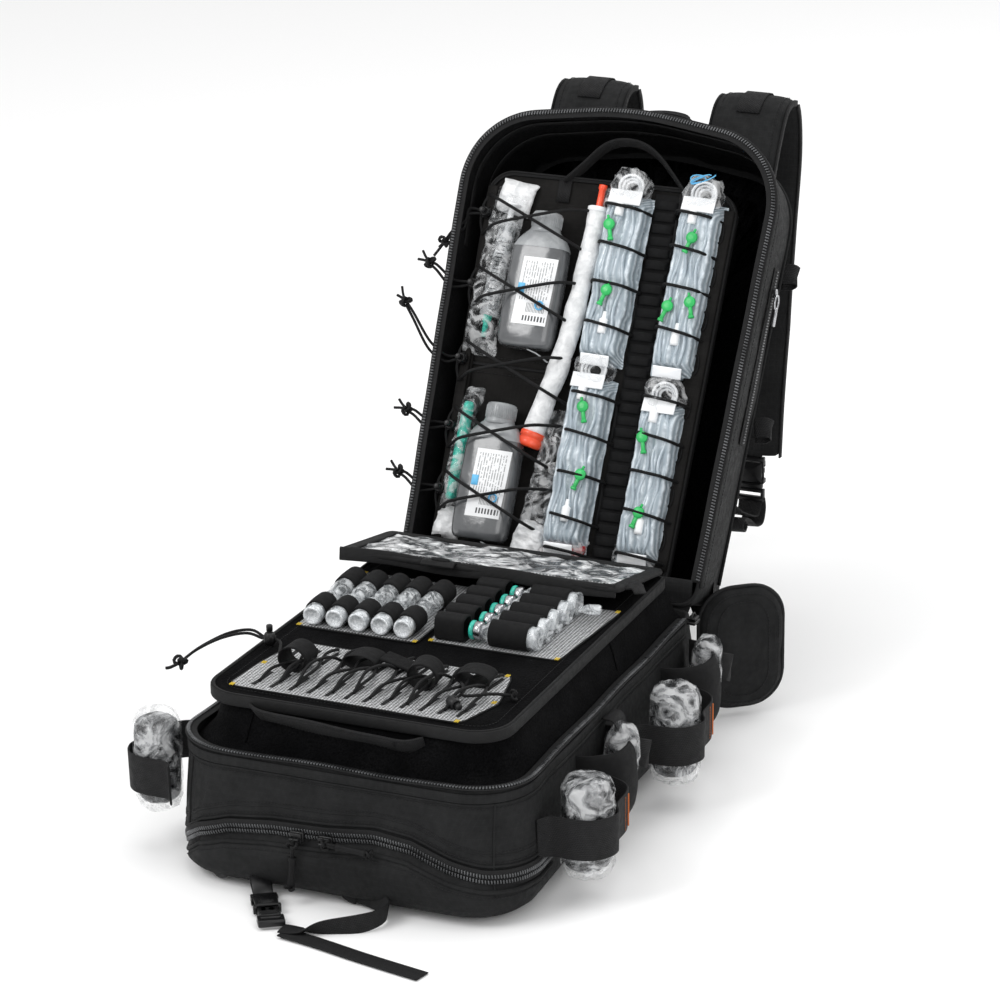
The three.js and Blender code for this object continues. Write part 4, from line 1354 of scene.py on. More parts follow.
@dataclass
class FlapPanel:
    """The hinged lid of the compartment, with its ampoules, vials and instrument loops."""

    top: float = 172.0
    ampoules: int = 5
    vials: int = 5

    def outline(self, inset: float) -> list[Vector]:
        """The panel's outline, evenly spaced."""
        i = inset
        corners = [(-146 + i, -216 + i), (146 - i, -216 + i), (140 - i, 202 - i), (-140 + i, 202 - i)]
        front, rear = max(34 - i, 4), max(8 - i, 2)
        return even(rounded(corners, [front, front, rear, rear], 8), 220, True)

    def level(self, inset: float, z: float) -> list[Vector]:
        """The outline at a height."""
        return [Vector((p.x, p.y, z)) for p in self.outline(inset)]

    def panel(self) -> None:
        """The padded velour panel with its bound edge and inner seam."""
        steps = [
            (60, 162.6), (8, 162.3), (2, 162.2), (0, 164), (-0.3, 167), (0, 170), (2, 171.6), (6, 172.2),
            (8.5, 171.5)
        ]
        steps += [(10, 171.2), (11.5, 171.7), (16, 172.5), (30, 172.2), (70, 171.9), (120, 171.9)]
        body = Mesh().grid(
            [self.level(a, z) for a, z in steps], wrap=True, caps=True
        ).piece("flap_cloth", VELOUR)
        crumple(body, 34, 0.35)
        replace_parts(body, "flap_panel")
        ring = self.level(-0.8, 167)
        edge = Mesh().band(ring, UP, 10.5, 2.2, closed=True)
        edge.tube(self.level(1.2, 171.9), 1.5, 6, closed=True)
        sewn = stitches(Mesh(), self.level(13.5, 172.1), UP, 3.6, 0.45)
        handle = smooth(
            [
                (-92, -214, 159), (-80, -222, 160), (-46, -227, 160), (-8, -229, 158.5), (32, -227, 156),
                (60, -224, 153), (76, -217, 156)
            ],
            40
        )

        def lean(k: int) -> Vector:
            """The direction across the strap."""
            return Vector((0.10, -0.62 - 0.1 * sin(k * 0.3), 0.75)).normalized()

        strap = Mesh().band(handle, lean, 19, 2.6)
        strap.band([p + Vector((0, -0.8, -0.4)) for p in handle[4:34]], lean, 15, 2.6)
        for row in (-7, 7):
            stitches(
                strap, [p + lean(k) * row + Vector((0, -1.7, -1)) for k, p in enumerate(handle)][3:37],
                Vector((0, -0.7, -0.6)), 3.2, 0.5
            )
        handle_piece = strap.piece("flap_pull_handle", WEBBING)
        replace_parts(handle_piece, "flap_handle")
        reported(
            "flap", body, edge.piece("flap_binding", BINDING), sewn.piece("flap_stitching", THREAD),
            handle_piece
        )

    def patch(self, name: str, corners: Sequence[Point], radius: float = 5) -> list[Vector]:
        """A grid laminate patch sewn to the panel, with its yellow corner tacks."""
        z = self.top + 0.6
        middle = sum((vec(c) for c in corners), Vector()) / len(corners)
        ring = even(rounded(corners, [radius] * len(corners), 5), 96, True)
        rows = []
        for share, high in ((1.0, 0.0), (1.0, 0.9), (0.985, 1.2), (0.7, 1.2), (0.4, 1.2), (0.05, 1.2)):
            rows.append(
                [
                    Vector((middle.x + (p.x - middle.x) * share, middle.y + (p.y - middle.y) * share, z + high))
                    for p in ring
                ]
            )
        mesh = Mesh().grid(rows, wrap=True, caps=True)
        mesh.flat = [(p.x * MM, p.y * MM) for p in mesh.points]
        cloth = mesh.piece(f"grid_patch_{name}", GRID_CLOTH, False)
        tacks = Mesh()
        for corner in corners:
            at = vec(corner).lerp(middle, 0.035)
            for k in range(3):
                tacks.block(Vector((at.x + k * 1.5 - 1.5, at.y, z + 1.5)), (0.9, 5.5, 0.8), None, 0.45)
        trim = Mesh().tube([Vector((p.x, p.y, z + 0.5)) for p in ring], 0.9, 6, closed=True)
        reported(
            "flap", cloth, tacks.piece(f"corner_tacks_{name}", YELLOW),
            trim.piece(f"patch_trim_{name}", BINDING)
        )
        return ring

    def ampoule_row(self) -> None:
        """Five clear ampoules in two rows of elastic loops."""
        self.patch("ampoules", [(-132, -45), (-10, -45), (-10, 105), (-132, 105)])
        r, high = 9.8, self.top + 1.8
        glass, ends, loops, liquid = Mesh(), Mesh(), Mesh(), Mesh()
        for i in range(self.ampoules):
            x = -117 + 23 * i
            place = placed(Vector((x, -42, high + r)), Vector((0, 1, 0.03)), Vector((1, 0, 0)))
            neck = [
                (0.5, 2.2), (r - 3, 0.8), (r - 1.0, 0), (r - 0.2, 1.2), (r, 3), (r, 40), (r - 0.8, 43),
                (r * 0.62, 46.5)
            ]
            neck += [
                (r * 0.5, 48), (r * 0.52, 51), (r * 0.78, 54), (r * 0.98, 57), (r, 60), (r, 90), (r - 1.5, 95),
                (r * 0.5, 97), (0.5, 97.4)
            ]
            glass.lathe(neck, place, 28)
            liquid.lathe([(0.5, 4), (r - 2.6, 4), (r - 2, 6), (r - 2, 39), (r * 0.4, 43), (0.5, 44)], place, 20)
            ends.lathe(
                [
                    (0.5, 1.4), (r - 4.4, 1.0), (r - 3.2, -0.6), (r - 1.4, -0.9), (r - 0.7, 0.6),
                    (r - 1.6, 2.4), (0.5, 2.4)
                ],
                place, 28
            )
            for low, far in ((9, 33), (72, 99)):
                rows = []
                for k in range(7):
                    y = -42 + low + (far - low) * k / 6
                    swell = 1.5 + 0.5 * sin(pi * k / 6)
                    ring = []
                    for a in turns(32):
                        drop = 1.0 if sin(a) > -0.2 else 0.94
                        ring.append(
                            Vector(
                                (
                                    x + (r + swell) * cos(a), y,
                                    high + r + 0.03 * (y + 42) + (r + swell) * sin(a) * drop
                                )
                            )
                        )
                    rows.append(ring)
                inner = [
                    [Vector((x + (p.x - x) * 0.9, p.y, high + r + (p.z - high - r) * 0.9)) for p in row]
                    for row in reversed(rows)
                ]
                loops.grid(rows + inner, wrap=True, loop=True)
        body = glass.piece("ampoule_glass", GLASS)
        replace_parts(body, "ampoule_row")
        reported(
            "flap", body, ends.piece("ampoule_ends", GLASS_END), loops.piece("ampoule_elastic", ELASTIC),
            crumple(liquid.piece("ampoule_content", GLASS_END), 5, 0.6),
        )

    def vial_row(self) -> None:
        """Five capped vials in elastic sleeves, with the empty sleeves beside them."""
        self.patch("vials", [(-2, -36), (128, -36), (136, 98), (-2, 98)])
        spare, sleeves = Mesh(), Mesh()
        for i in range(self.vials):
            low, high = box_mm(f"vial_{i + 1}")
            middle = (low + high) / 2
            r = (high.z - low.z) / 2
            place = placed(Vector((low.x, middle.y, middle.z)), Vector((1, 0, 0)), UP)
            body = Mesh().lathe(
                [
                    (0.5, 9), (5.6, 9), (5.9, 12), (7, 14.5), (r - 1.6, 18), (r - 0.3, 21), (r - 0.2, 60),
                    (r - 0.4, 64), (r, 65.5), (r, 67.3), (r - 1.6, 67.8), (r - 3.2, 66.4), (r - 3.8, 65.4),
                    (0.5, 65.2)
                ],
                place, 32
            ).piece(f"vial_glass_{i + 1}", GLASS)
            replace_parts(body, f"vial_{i + 1}")
            inner = Mesh().lathe(
                [(0.5, 21), (r - 3, 21), (r - 2, 25), (r - 2, 62), (r - 3, 63.6), (0.5, 63.8)], place, 24
            )
            collar = Mesh().lathe(
                [(5.6, 4), (7.6, 4), (8.6, 5), (8.7, 9.5), (8.0, 11.2), (5.4, 11.4)], place, 28
            )
            cap = Mesh().lathe(
                [(0.5, -0.4), (7.4, -0.4), (8.6, 0.4), (8.9, 1.6), (8.9, 3.3), (8.3, 4.1), (0.5, 4.1)], place,
                28
            )
            reported(
                "flap", body, inner.piece(f"vial_content_{i + 1}", GLASS_END),
                collar.piece(f"vial_collar_{i + 1}", STEEL), cap.piece(f"vial_cap_{i + 1}", TEAL)
            )
            centre = middle.z
            for mesh, start, end, wide, tall in (
                (sleeves, 57, 95, r + 1.5, r + 1.5), (spare, 3, 32, r - 0.6, r + 1.2)
            ):
                rows = []
                for k in range(9):
                    x = start + (end - start) * k / 8
                    ring = []
                    for a in turns(32):
                        c, n = cos(a), sin(a)
                        square = 1.0 if mesh is sleeves else 1 / max(abs(c) ** 0.5, abs(n) ** 0.5, 0.86)
                        swell = 1 + 0.02 * sin(pi * k / 8)
                        lift = max(centre + tall * swell * n * square, self.top + 1.9)
                        ring.append(Vector((x, middle.y + wide * swell * c * square, lift)))
                    rows.append(ring)
                inner_rows = [
                    [
                        Vector((p.x, middle.y + (p.y - middle.y) * 0.88, centre + (p.z - centre) * 0.88))
                        for p in row
                    ]
                    for row in reversed(rows)
                ]
                mesh.grid(rows + inner_rows, wrap=True, loop=True)
        small = Mesh().lathe(
            [(0.5, 0), (4.5, 0), (5, 2), (5, 13), (3.4, 16), (3, 21), (0.5, 21.5)],
            placed(Vector((128, 66, 186)), Vector((-0.75, -0.5, 0.1))), 24
        )
        reported(
            "flap", sleeves.piece("vial_sleeves", ELASTIC), spare.piece("spare_sleeves", ELASTIC),
            small.piece("small_ampoule", GLASS),
        )

    def loop(self, mesh: Mesh, x: float, y: float, r: float, flat: float, lean: float) -> None:
        """An elastic loop standing on the patch, open along y."""
        rows = []
        base = self.top + 1.6
        for k in range(9):
            t = k / 8 - 0.5
            ring = []
            for a in turns(36):
                ring.append(
                    Vector(
                        (x + r * cos(a) + lean * t * 10, y + 24 * t, base + max(0.2, r * flat * (1 + sin(a))))
                    )
                )
            rows.append(ring)
        inner = []
        for row in reversed(rows):
            middle = sum(row, Vector()) / len(row)
            inner.append([middle + (p - middle) * ((r - 1.5) / r) for p in row])
        mesh.grid(rows + inner, wrap=True, loop=True)

    def instruments(self) -> None:
        """The slotted patch with its four elastic loops and the shock cord laced across."""
        corners = [(-126, -199), (104, -203), (118, -150), (104, -86), (-112, -82), (-122, -140)]
        self.patch("instruments", corners, 9)
        z = self.top + 2.0
        slots = Mesh()
        for k in range(12):
            x = -104 + 18.2 * k
            for y0, y1 in ((-192, -158), (-126, -96)):
                slots.block(
                    Vector((x + 1.5, (y0 + y1) / 2, z)), (4.2, y1 - y0, 0.5), Matrix.Rotation(-0.08, 3, "Z"),
                    0.4
                )
        loops = Mesh()
        for x, y, r, flat, lean in (
            (-84, -140, 14, 0.86, 0.1), (41, -136, 15, 0.84, -0.3), (-30, -112, 16, 0.42, 0.2),
            (80, -112, 17, 0.42, -0.2)
        ):
            self.loop(loops, x, y, r, flat, lean)
        loops.block(Vector((4, -108, z + 6)), (34, 20, 3), Matrix.Rotation(0.25, 3, "Y"), 0.5)
        loop_piece = loops.piece("elastic_loops", ELASTIC)
        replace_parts(loop_piece, "instrument_loops")
        lace = Mesh()
        for k in range(11):
            x = -101 + 18.2 * k
            front = Vector((x, -184 + 5 * (k % 2), z + 1.2))
            rear = Vector((x + 13, -128 + 7 * (k % 3), z + 1.4))
            lift = 6 + 4 * ((k * 7) % 3)
            lace.tube(
                smooth(
                    [
                        front, front.lerp(rear, 0.3) + UP * lift,
                        front.lerp(rear, 0.65) + UP * lift * 0.9 + Vector((3, 0, 0)), rear
                    ],
                    18
                ),
                1.5, 7
            )
            over = Vector((x + 18.2, -184 + 5 * ((k + 1) % 2), z + 1.0))
            lace.tube(
                smooth([rear, rear.lerp(over, 0.4) + Vector((5, 0, 3)), over + Vector((1, 9, 3)), over], 18),
                1.5, 7
            )
            lace.tube(
                smooth(
                    [rear, rear + Vector((1, 9, 4)), rear + Vector((4, 22, 3)), rear + Vector((3, 30, 0))], 12
                ),
                1.5, 7
            )
        barrel = lock_barrel(Mesh(), placed(Vector((80, -171, z + 6)), Vector((0.8, -0.6, -0.1))))
        lock_button(
            barrel,
            placed(
                Vector((80, -171, z + 6)) + Vector((0.8, -0.6, -0.1)).normalized() * 14,
                Vector((0.8, -0.6, -0.1))
            )
        )
        lace.tube(
            smooth(
                [
                    (72, -128, z + 4), (82, -146, z + 9), (90, -163, z + 8), (112, -150, z + 8),
                    (126, -138, z + 4)
                ],
                24
            ),
            1.5, 7
        )
        knot(lace, Vector((127, -137, z + 4)), Vector((1, 0.6, 0)), 2.6)
        reported(
            "flap", slots.piece("lacing_slots", BINDING), loop_piece, lace.piece("flap_lacing", SHOCK_CORD),
            barrel.piece("lacing_lock", PLASTIC),
        )

    def side_lock(self) -> None:
        """The cord lock at the panel's left edge, its knotted tail and lead-in cord."""
        low, high = box_mm("flap_cord_lock")
        middle = (low + high) / 2
        base = placed(Vector((middle.x, middle.y, low.z)), UP)
        body = lock_barrel(Mesh(), base).piece("flap_lock_barrel", PLASTIC)
        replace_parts(body, "flap_cord_lock")
        low_b, _ = box_mm("flap_cord_lock_button")
        button = lock_button(
            Mesh(), placed(Vector((middle.x, middle.y, low_b.z)), UP)
        ).piece("flap_lock_button", PLASTIC)
        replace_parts(button, "flap_cord_lock_button")
        start = Vector((middle.x - 6, middle.y, low.z + 6))
        for name, bow in (("one", 1.7), ("two", -1.7)):
            route = smooth(
                [
                    start + Vector((0, bow, 0)), start + Vector((-16, 1 + bow * 2.6, 3.5)),
                    start + Vector((-34, -12 + bow * 3.4, 1.5)), start + Vector((-46, -40 + bow * 2, -2)),
                    start + Vector((-51, -66 + bow, -6))
                ],
                30
            )
            tail_cord(f"flap_tail_{name}", route, "flap_cord_lock")
        end = Mesh()
        knot(end, start + Vector((-51.4, -67, -6.5)), Vector((-0.1, -1, -0.1)), 3.4)
        end.tube(
            smooth(
                [
                    start + Vector((-52, -70, -7)), start + Vector((-57, -77, -9)),
                    start + Vector((-60, -80, -9))
                ],
                8
            ),
            1.5, 6
        )
        lead = Mesh().tube(
            smooth(
                [
                    middle + Vector((5, 1, 0)), middle + Vector((14, -6, 0)), middle + Vector((22, -24, -2)),
                    middle + Vector((30, -34, -5))
                ],
                20
            ),
            1.5, 7
        )
        reported("flap_cord_lock", body, end.piece("flap_tail_knot", SHOCK_CORD))
        reported("flap_cord_button", button)
        reported("flap", lead.piece("flap_lock_lead", SHOCK_CORD))

    def build(self) -> None:
        """Makes the whole flap."""
        self.panel()
        self.ampoule_row()
        self.vial_row()
        self.instruments()
        self.side_lock()


def tail_cord(name: str, route: Sequence[Vector], body: str) -> bpy.types.Object:
    """A free strand of shock cord as a curve.

    Args:
        name: the piece's name.
        route: the points it follows, in millimetres.
        body: the body it rides on.

    Returns:
        The curve object.
    """
    data = bpy.data.curves.new(name, "CURVE")
    data.dimensions = "3D"
    data.bevel_depth = CORD / 2 * MM
    data.bevel_resolution = 3
    data.use_fill_caps = True
    line = data.splines.new("POLY")
    line.points.add(len(route) - 1)
    for spot, p in zip(line.points, route):
        spot.co = (*(p * MM), 1.0)
    made = bpy.data.objects.new(name, data)
    bpy.context.scene.collection.objects.link(made)
    dress(made, SHOCK_CORD)
    reported(body, made)
    return made


@dataclass
class WindowPouch:
    """The clear window pouch that lies over the rear of the flap."""

    slope: float = 10.5
    rear_y: float = 205.0
    rear_z: float = 177.0
    half: float = 142.0
    reach: float = 119.0

    def at(self, x: float, down: float, high: float) -> Vector:
        """A point of the pouch, from across, towards the front and off its face."""
        s, c = sin(radians(self.slope)), cos(radians(self.slope))
        return Vector((x - 6, self.rear_y - down * c + high * s, self.rear_z + down * s + high * c))

    def build(self) -> None:
        """Makes the backing, the window with its painted reflections, its binding and the eyelet tab."""
        wide, deep = 28, 14

        def face(inset: float, high: float, wave: float) -> list[list[Vector]]:
            """Rows of one face."""
            rows = []
            for k in range(deep + 1):
                down = 4 + inset + (self.reach - 4 - 2 * inset) * k / deep
                rows.append([
                    self.at(
                        (-self.half + inset) + 2 * (self.half - inset) * i / wide, down,
                        high + wave * noise.noise(Vector((i / 3.1, k / 2.3, high))),
                    )
                    for i in range(wide + 1)
                ])
            return rows

        back = Mesh().grid(
            face(0, -2.2, 0.6) + list(reversed(face(0, -0.6, 0.6))), loop=True
        ).piece("pouch_backing", NYLON)
        film = finer(
            Mesh().grid(face(9, 1.6, 1.6)).grid(
                [list(reversed(r)) for r in face(9, 0.2, 0.4)]
            ).piece("pouch_window", FOIL),
            2
        )
        crumple(crumple(film, 26, 1.5), 9, 0.8, 4.0)
        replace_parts(film, "window_pouch")
        edge = Mesh()
        corners = [(-self.half, 4), (self.half, 4), (self.half, self.reach), (-self.half, self.reach)]
        ring = even(rounded(corners, [5, 5, 5, 5], 5), 180, True)
        path = [self.at(p.x, p.y, 0) for p in ring]
        inward = [
            (self.at(p.x * 0.93, (p.y - 60) * 0.86 + 60, 0) - self.at(p.x, p.y, 0)).normalized() for p in ring
        ]
        edge.band(
            [p + d * 5.5 + UP * 1.6 for p, d in zip(path, inward)], lambda k: inward[k], 12, 2.4, closed=True
        )
        edge.tube(path, 3.0, 8, closed=True)
        lip = [
            self.at(x, self.reach + 1 + 1.5 * sin(x / 34), -1.5 + 1.2 * sin(x / 21))
            for x in range(-142, 143, 6)
        ]
        edge.band(lip, Vector((0, 0.25, 1)), 13, 3.2)
        sewn = stitches(Mesh(), [self.at(x, self.reach - 9, 3.2) for x in range(-136, 137, 8)], UP, 3.4, 0.5)
        tab = Mesh().band(
            smooth(
                [
                    self.at(-38, self.reach - 6, 3.0), self.at(-38, self.reach + 5, 3.6),
                    self.at(-38, self.reach + 10, 0)
                ],
                12
            ),
            Vector((1, 0, 0)), 34, 2.2
        )
        ring_path = [self.at(-38 + 8.5 * cos(a), self.reach + 1 + 3.0 * sin(a), 5.2) for a in turns(24)]
        tab.tube(ring_path, 1.4, 6, closed=True)
        side = Mesh().band(
            smooth(
                [
                    self.at(self.half - 2, 96, 0), self.at(self.half + 10, 98, 2),
                    self.at(self.half + 16, 100, -4)
                ],
                12
            ),
            Vector((0, 1, 0)), 20, 2.4
        )
        reported(
            "pouch", back, film, edge.piece("pouch_binding", BINDING), sewn.piece("pouch_stitching", THREAD),
            tab.piece("pouch_eyelet_tab", LINING), side.piece("pouch_side_tab", WEBBING),
        )


# ---- upper half ---------------------------------------------------------------------------


class Side(Enum):
    """Right and left, by the sign of x."""

    RIGHT = 1
    LEFT = -1

    @property
    def word(self) -> str:
        """The side's name in piece names."""
        return self.name.lower()


@dataclass
class UpperBody:
    """The back half of the pack, leaning open, with its lining, padding and harness."""

    depth: float = 116.0
    taper: float = 14.0
    rear: float = -129.0
    strap_width: float = 80.0
    strap_thick: float = 13.0

    def level(self, inset: float, w: float, slack: float = 0.0) -> list[Vector]:
        """The outline at a depth, tilted into place, with a little slack in the cloth."""
        ring = PLAN.upper(inset)
        found = []
        for i, p in enumerate(ring):
            out = outward(ring, i) * slack * noise.noise(Vector((p.x, p.y, w)) / 42)
            found.append(PLAN.tilt(p.x + out.x, p.y + out.y, w))
        return found

    def shell(self) -> None:
        """The nylon wall, the lining inside it and the velour at its back."""
        outer = [
            (self.taper * t + (1.4 if t > 0.93 else 0), -2 - (self.depth - 12) * t)
            for t in [k / 16 for k in range(17)]
        ]
        rows = [self.level(2.6, -1.0), self.level(0.6, -0.6)] + [self.level(a, w, 1.6) for a, w in outer]
        rows += [
            self.level(self.taper + 4, -111), self.level(self.taper + 11, -115.4),
            self.level(self.taper + 40, -116), self.level(self.taper + 90, -116)
        ]
        wall = Mesh().grid(rows, wrap=True, caps=False).piece("upper_skin", NYLON)
        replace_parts(wall, "upper_shell")
        stops = [(3.0, -1.4), (4.2, -3), (5.5, -14), (8.5, -40), (12.5, -74), (16, -104), (18, -112.6)]
        inside = [self.level(a, w, 3.4 if -90 < w < -5 else 0.6) for a, w in stops]
        lining = finer(Mesh().grid(inside, wrap=True).piece("upper_lining", LINING))
        crumple(lining, 22, 0.9)
        back = Mesh().grid([self.level(a, -113.4) for a in (17.5, 40, 70, 110, 140)], wrap=True, caps=True)
        velour = back.piece("upper_back_velour", VELOUR)
        trim = Mesh()
        ring = [i for i, p in enumerate(PLAN.upper(9)) if p.y > 330]
        for w, inset in ((-22, 7.2), (-52, 10.5)):
            level = self.level(inset, w)
            trim.band([level[i] for i in ring], PLAN.turn((0, 0, 1)), 9, 1.5)
        reported("upper", wall, lining, velour, trim.piece("upper_inner_binding", BINDING))

    def zip(self) -> None:
        """The zip round the mouth, its tape and the bound edge behind it."""
        ring = PLAN.upper(3.0)
        order = [i for i, p in enumerate(ring) if p.y > 24]
        turn = next((k for k in range(1, len(order)) if order[k] - order[k - 1] > 1), 0)
        order = order[turn:] + order[:turn]
        span = len(order)
        path = even([PLAN.tilt(ring[i].x, ring[i].y, 0.4 + 0.5 * sin(i * 0.31)) for i in order], 440)

        def over(k: int) -> Vector:
            """The direction across the zip."""
            out = outward(ring, order[min(span - 1, int(k * span / 440))])
            return PLAN.turn((out.x, out.y, -0.25)).normalized()

        tape = Mesh().band([p - PLAN.turn((0, 0, 1.2)) for p in path], over, 11, 1.2)
        teeth = coil(
            Mesh(), [p + PLAN.turn((0, 0, 0.5)) + over(k) * 1.6 for k, p in enumerate(path)], over, 2.9, 3.8
        )
        rim = PLAN.upper(-0.6)
        edge_path = even([PLAN.tilt(rim[i].x, rim[i].y, -7.5) for i in order], 300)
        seam_path = even([PLAN.tilt(p.x, p.y, -16) for p in (PLAN.upper(1.2)[i] for i in order)], 300)
        edge = Mesh().band(edge_path, PLAN.turn((0, 0, 1)), 9.5, 1.5).tube(seam_path, 1.2, 6)
        far = even([PLAN.tilt(p.x, p.y, -92) for p in (PLAN.upper(11.2)[i] for i in order)], 300)
        edge.tube(far, 1.8, 6)
        sewn = stitches(
            Mesh(), even([PLAN.tilt(p.x, p.y, -20) for p in (PLAN.upper(1.2)[i] for i in order)], 300),
            lambda k: over(int(k * 1.4))
        )
        reported(
            "upper", tape.piece("upper_zip_tape", BINDING), teeth.piece("upper_zip_teeth", TEETH),
            edge.piece("upper_zip_edge", NYLON), sewn.piece("upper_rim_stitching", THREAD),
        )

    def back_pad(self) -> None:
        """The padded back panel with its sewn channels."""
        rows = []
        stops = [
            (34, -115.5), (31, -119), (33, -125), (38, -128.5), (46, -130), (70, -131), (100, -131), (140, -131)
        ]
        for inset, w in stops:
            rows.append(
                [
                    PLAN.tilt(
                        p.x, p.y,
                        w + (
                            2.4 * exp(-((p.x / 13) ** 2)) + 1.8 * exp(
                                -(((p.y - 225) / 9) ** 2)
                            ) if w < -126 else 0
                        )
                    )
                    for p in PLAN.upper(inset)
                ]
            )
        pad = Mesh().grid(rows, wrap=True, caps=True).piece("back_padding", VELOUR)
        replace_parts(pad, "back_pad")
        trim = Mesh().tube([PLAN.tilt(p.x, p.y, -127) for p in PLAN.upper(35)], 2.2, 6, closed=True)
        panel = Mesh().band(
            [PLAN.tilt(x, 404, -132.6) for x in range(-112, 113, 8)], PLAN.turn((0, 1, 0)), 44, 3
        )
        for u in (388, 420):
            stitches(
                panel, [PLAN.tilt(x, u, -134.4) for x in range(-108, 109, 8)], PLAN.turn((0, 0, -1)), 3.6, 0.6
            )
        reported("upper", pad, trim.piece("back_pad_piping", BINDING), panel.piece("harness_yoke", NYLON))

    def shoulder(self, side: Side) -> None:
        """One padded shoulder strap with its binding, webbing, ladder and buckle."""
        low, high = box_mm(f"harness_socket_{side.word}")
        hang = Vector(((low.x + high.x) / 2, (low.y + high.y) / 2, high.z))
        x0 = hang.x
        top = [PLAN.tilt(x0, u, w) for u, w in ((430, -137), (492, -137), (530, -145), (540, -173))]
        fall = [(652, 475), (638, 395), (624, 303), (hang.y - 1, 220), (hang.y, hang.z + 2)]
        path = smooth(top + [Vector((x0, y, z)) for y, z in fall], 70)
        rows = []
        edges: list[list[Vector]] = [[], []]
        for k, p in enumerate(path):
            t = k / (len(path) - 1)
            ahead = (path[min(k + 1, 69)] - path[max(k - 1, 0)]).normalized()
            over = Vector((1, 0, 0))
            out = ahead.cross(over)
            half = self.strap_width / 2 * (1 - 0.16 * max(0.0, t - 0.72) / 0.28) - 1.5
            thick = self.strap_thick / 2 * (
                0.55 + 0.45 * sin(pi * min(1.0, t * 1.3 + 0.1)) ** 0.5 if t < 0.7 else 0.9 - 0.5 * (t - 0.7)
            )
            ring = []
            for a in turns(28):
                c, n = cos(a), sin(a)
                c = copysign(abs(c) ** 0.55, c)
                crown = copysign(abs(n) ** 0.8, n) * (1 - 0.25 * abs(c) ** 6)
                ring.append(p + over * half * c + out * (thick * crown + 0.5 * noise.noise(p / 24)))
            rows.append(ring)
            edges[0].append(p + over * (half + 0.6))
            edges[1].append(p - over * (half + 0.6))
        body = Mesh().grid(rows, wrap=True, caps=True).piece(f"shoulder_padding_{side.word}", NYLON)
        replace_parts(finer(body), f"shoulder_strap_{side.word}")
        trim = Mesh()
        for edge in edges:
            trim.band(
                even(edge, 70), lambda k: PLAN.turn((0, 0.3, 1)) if k < 20 else PLAN.turn((0, 0, 1)), 6.5, 2.2
            )
        outer = [
            p + (path[min(k + 1, 69)] - path[max(k - 1, 0)]).normalized().cross(Vector((1, 0, 0))) * -7.3
            for k, p in enumerate(path)
        ]
        webbing = Mesh().band(outer[12:], Vector((1, 0, 0)), 25, 1.8)
        for k in (22, 34, 46, 56):
            stitches(
                webbing,
                [outer[k] + Vector((x, 0, 0)) + (outer[k] - path[k]).normalized() * 1.4 for x in (-12, 12)],
                (outer[k] - path[k]).normalized(), 2.6, 0.6
            )
        sewn = Mesh()
        for shift in (-31, 31):
            stitches(
                sewn, [path[k].lerp(p, 0.62) + Vector((shift, 0, 0)) for k, p in enumerate(outer)],
                lambda k: (outer[k] - path[k]).normalized(), 3.6, 0.6
            )
        down, off = -UP, Vector((0, 1, 0))
        socket = buckle_half(
            Mesh(), placed(hang, off, down.cross(off)), 25, False
        ).piece(f"harness_buckle_socket_{side.word}", PLASTIC)
        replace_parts(socket, f"harness_socket_{side.word}")
        plug = buckle_half(Mesh(), placed(hang - UP * 50, off, down.cross(off) * -1), 25, True)
        plug_piece = plug.piece(f"harness_buckle_plug_{side.word}", PLASTIC)
        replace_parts(plug_piece, f"harness_plug_{side.word}")
        knots = [(0, -47), (-1, -55), (-10, -63), (-50, -46), (-110, -18)]
        run = smooth([hang + Vector((0, y, z)) for y, z in knots] + [PLAN.tilt(x0, 64, self.rear - 3)], 40)
        lower = Mesh().band(run, Vector((1, 0, 0)), 25, 1.8).piece(
            f"harness_lower_webbing_{side.word}", WEBBING
        )
        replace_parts(lower, f"harness_webbing_{side.word}")
        f"harness_tongue_{side.word}"
        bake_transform(lower)
        LOG.info("%s bends between the tongue and upper", lower.name)
        curl = [
            (0, -46), (3, -58), (-4, -72), (-22, -70), (-40, -58), (-58, -50), (-66, -57), (-58, -64),
            (-52, -58), (-57, -54)
        ]
        spare = smooth([hang + Vector((4, y, z)) for y, z in curl], 44)
        end = Mesh().band(spare, Vector((1, 0.05, 0.05)), 25, 1.8).piece(
            f"harness_webbing_end_{side.word}", WEBBING
        )
        reported(f"harness_tongue_{side.word}", plug_piece, end)
        loop = Mesh().band(
            smooth([hang + Vector((0, y, z)) for y, z in ((6, 22), (4, 8), (0, -1), (-4, 8), (-5, 22))], 14),
            Vector((1, 0, 0)), 25, 1.7
        )
        reported(
            "upper", body, trim.piece(f"shoulder_binding_{side.word}", BINDING),
            webbing.piece(f"shoulder_webbing_{side.word}", WEBBING),
            sewn.piece(f"shoulder_stitching_{side.word}", THREAD), socket,
            loop.piece(f"socket_loop_{side.word}", WEBBING)
        )

    def hip_pad(self, side: Side) -> None:
        """One padded hip fin with its curved stitch lines, and the cloth that holds it."""
        low, high = box_mm(f"hip_pad_{side.word}")
        centre = (low + high) / 2
        over = Vector((cos(radians(40)), side.value * sin(radians(40)), 0))
        out = over.cross(UP)
        rows, seams = [], Mesh()

        def ring(share: float, high_: float) -> list[Vector]:
            """One closed row."""
            corners = [(-43, -62), (43, -62), (43, 62), (-43, 62)]
            outline = even(rounded(corners, [34, 34, 34, 34], 8), 90, True)
            return [
                centre + over * p.x * share + UP * p.y * (1 - (1 - share) * 0.55) + out * high_ for p in outline
            ]

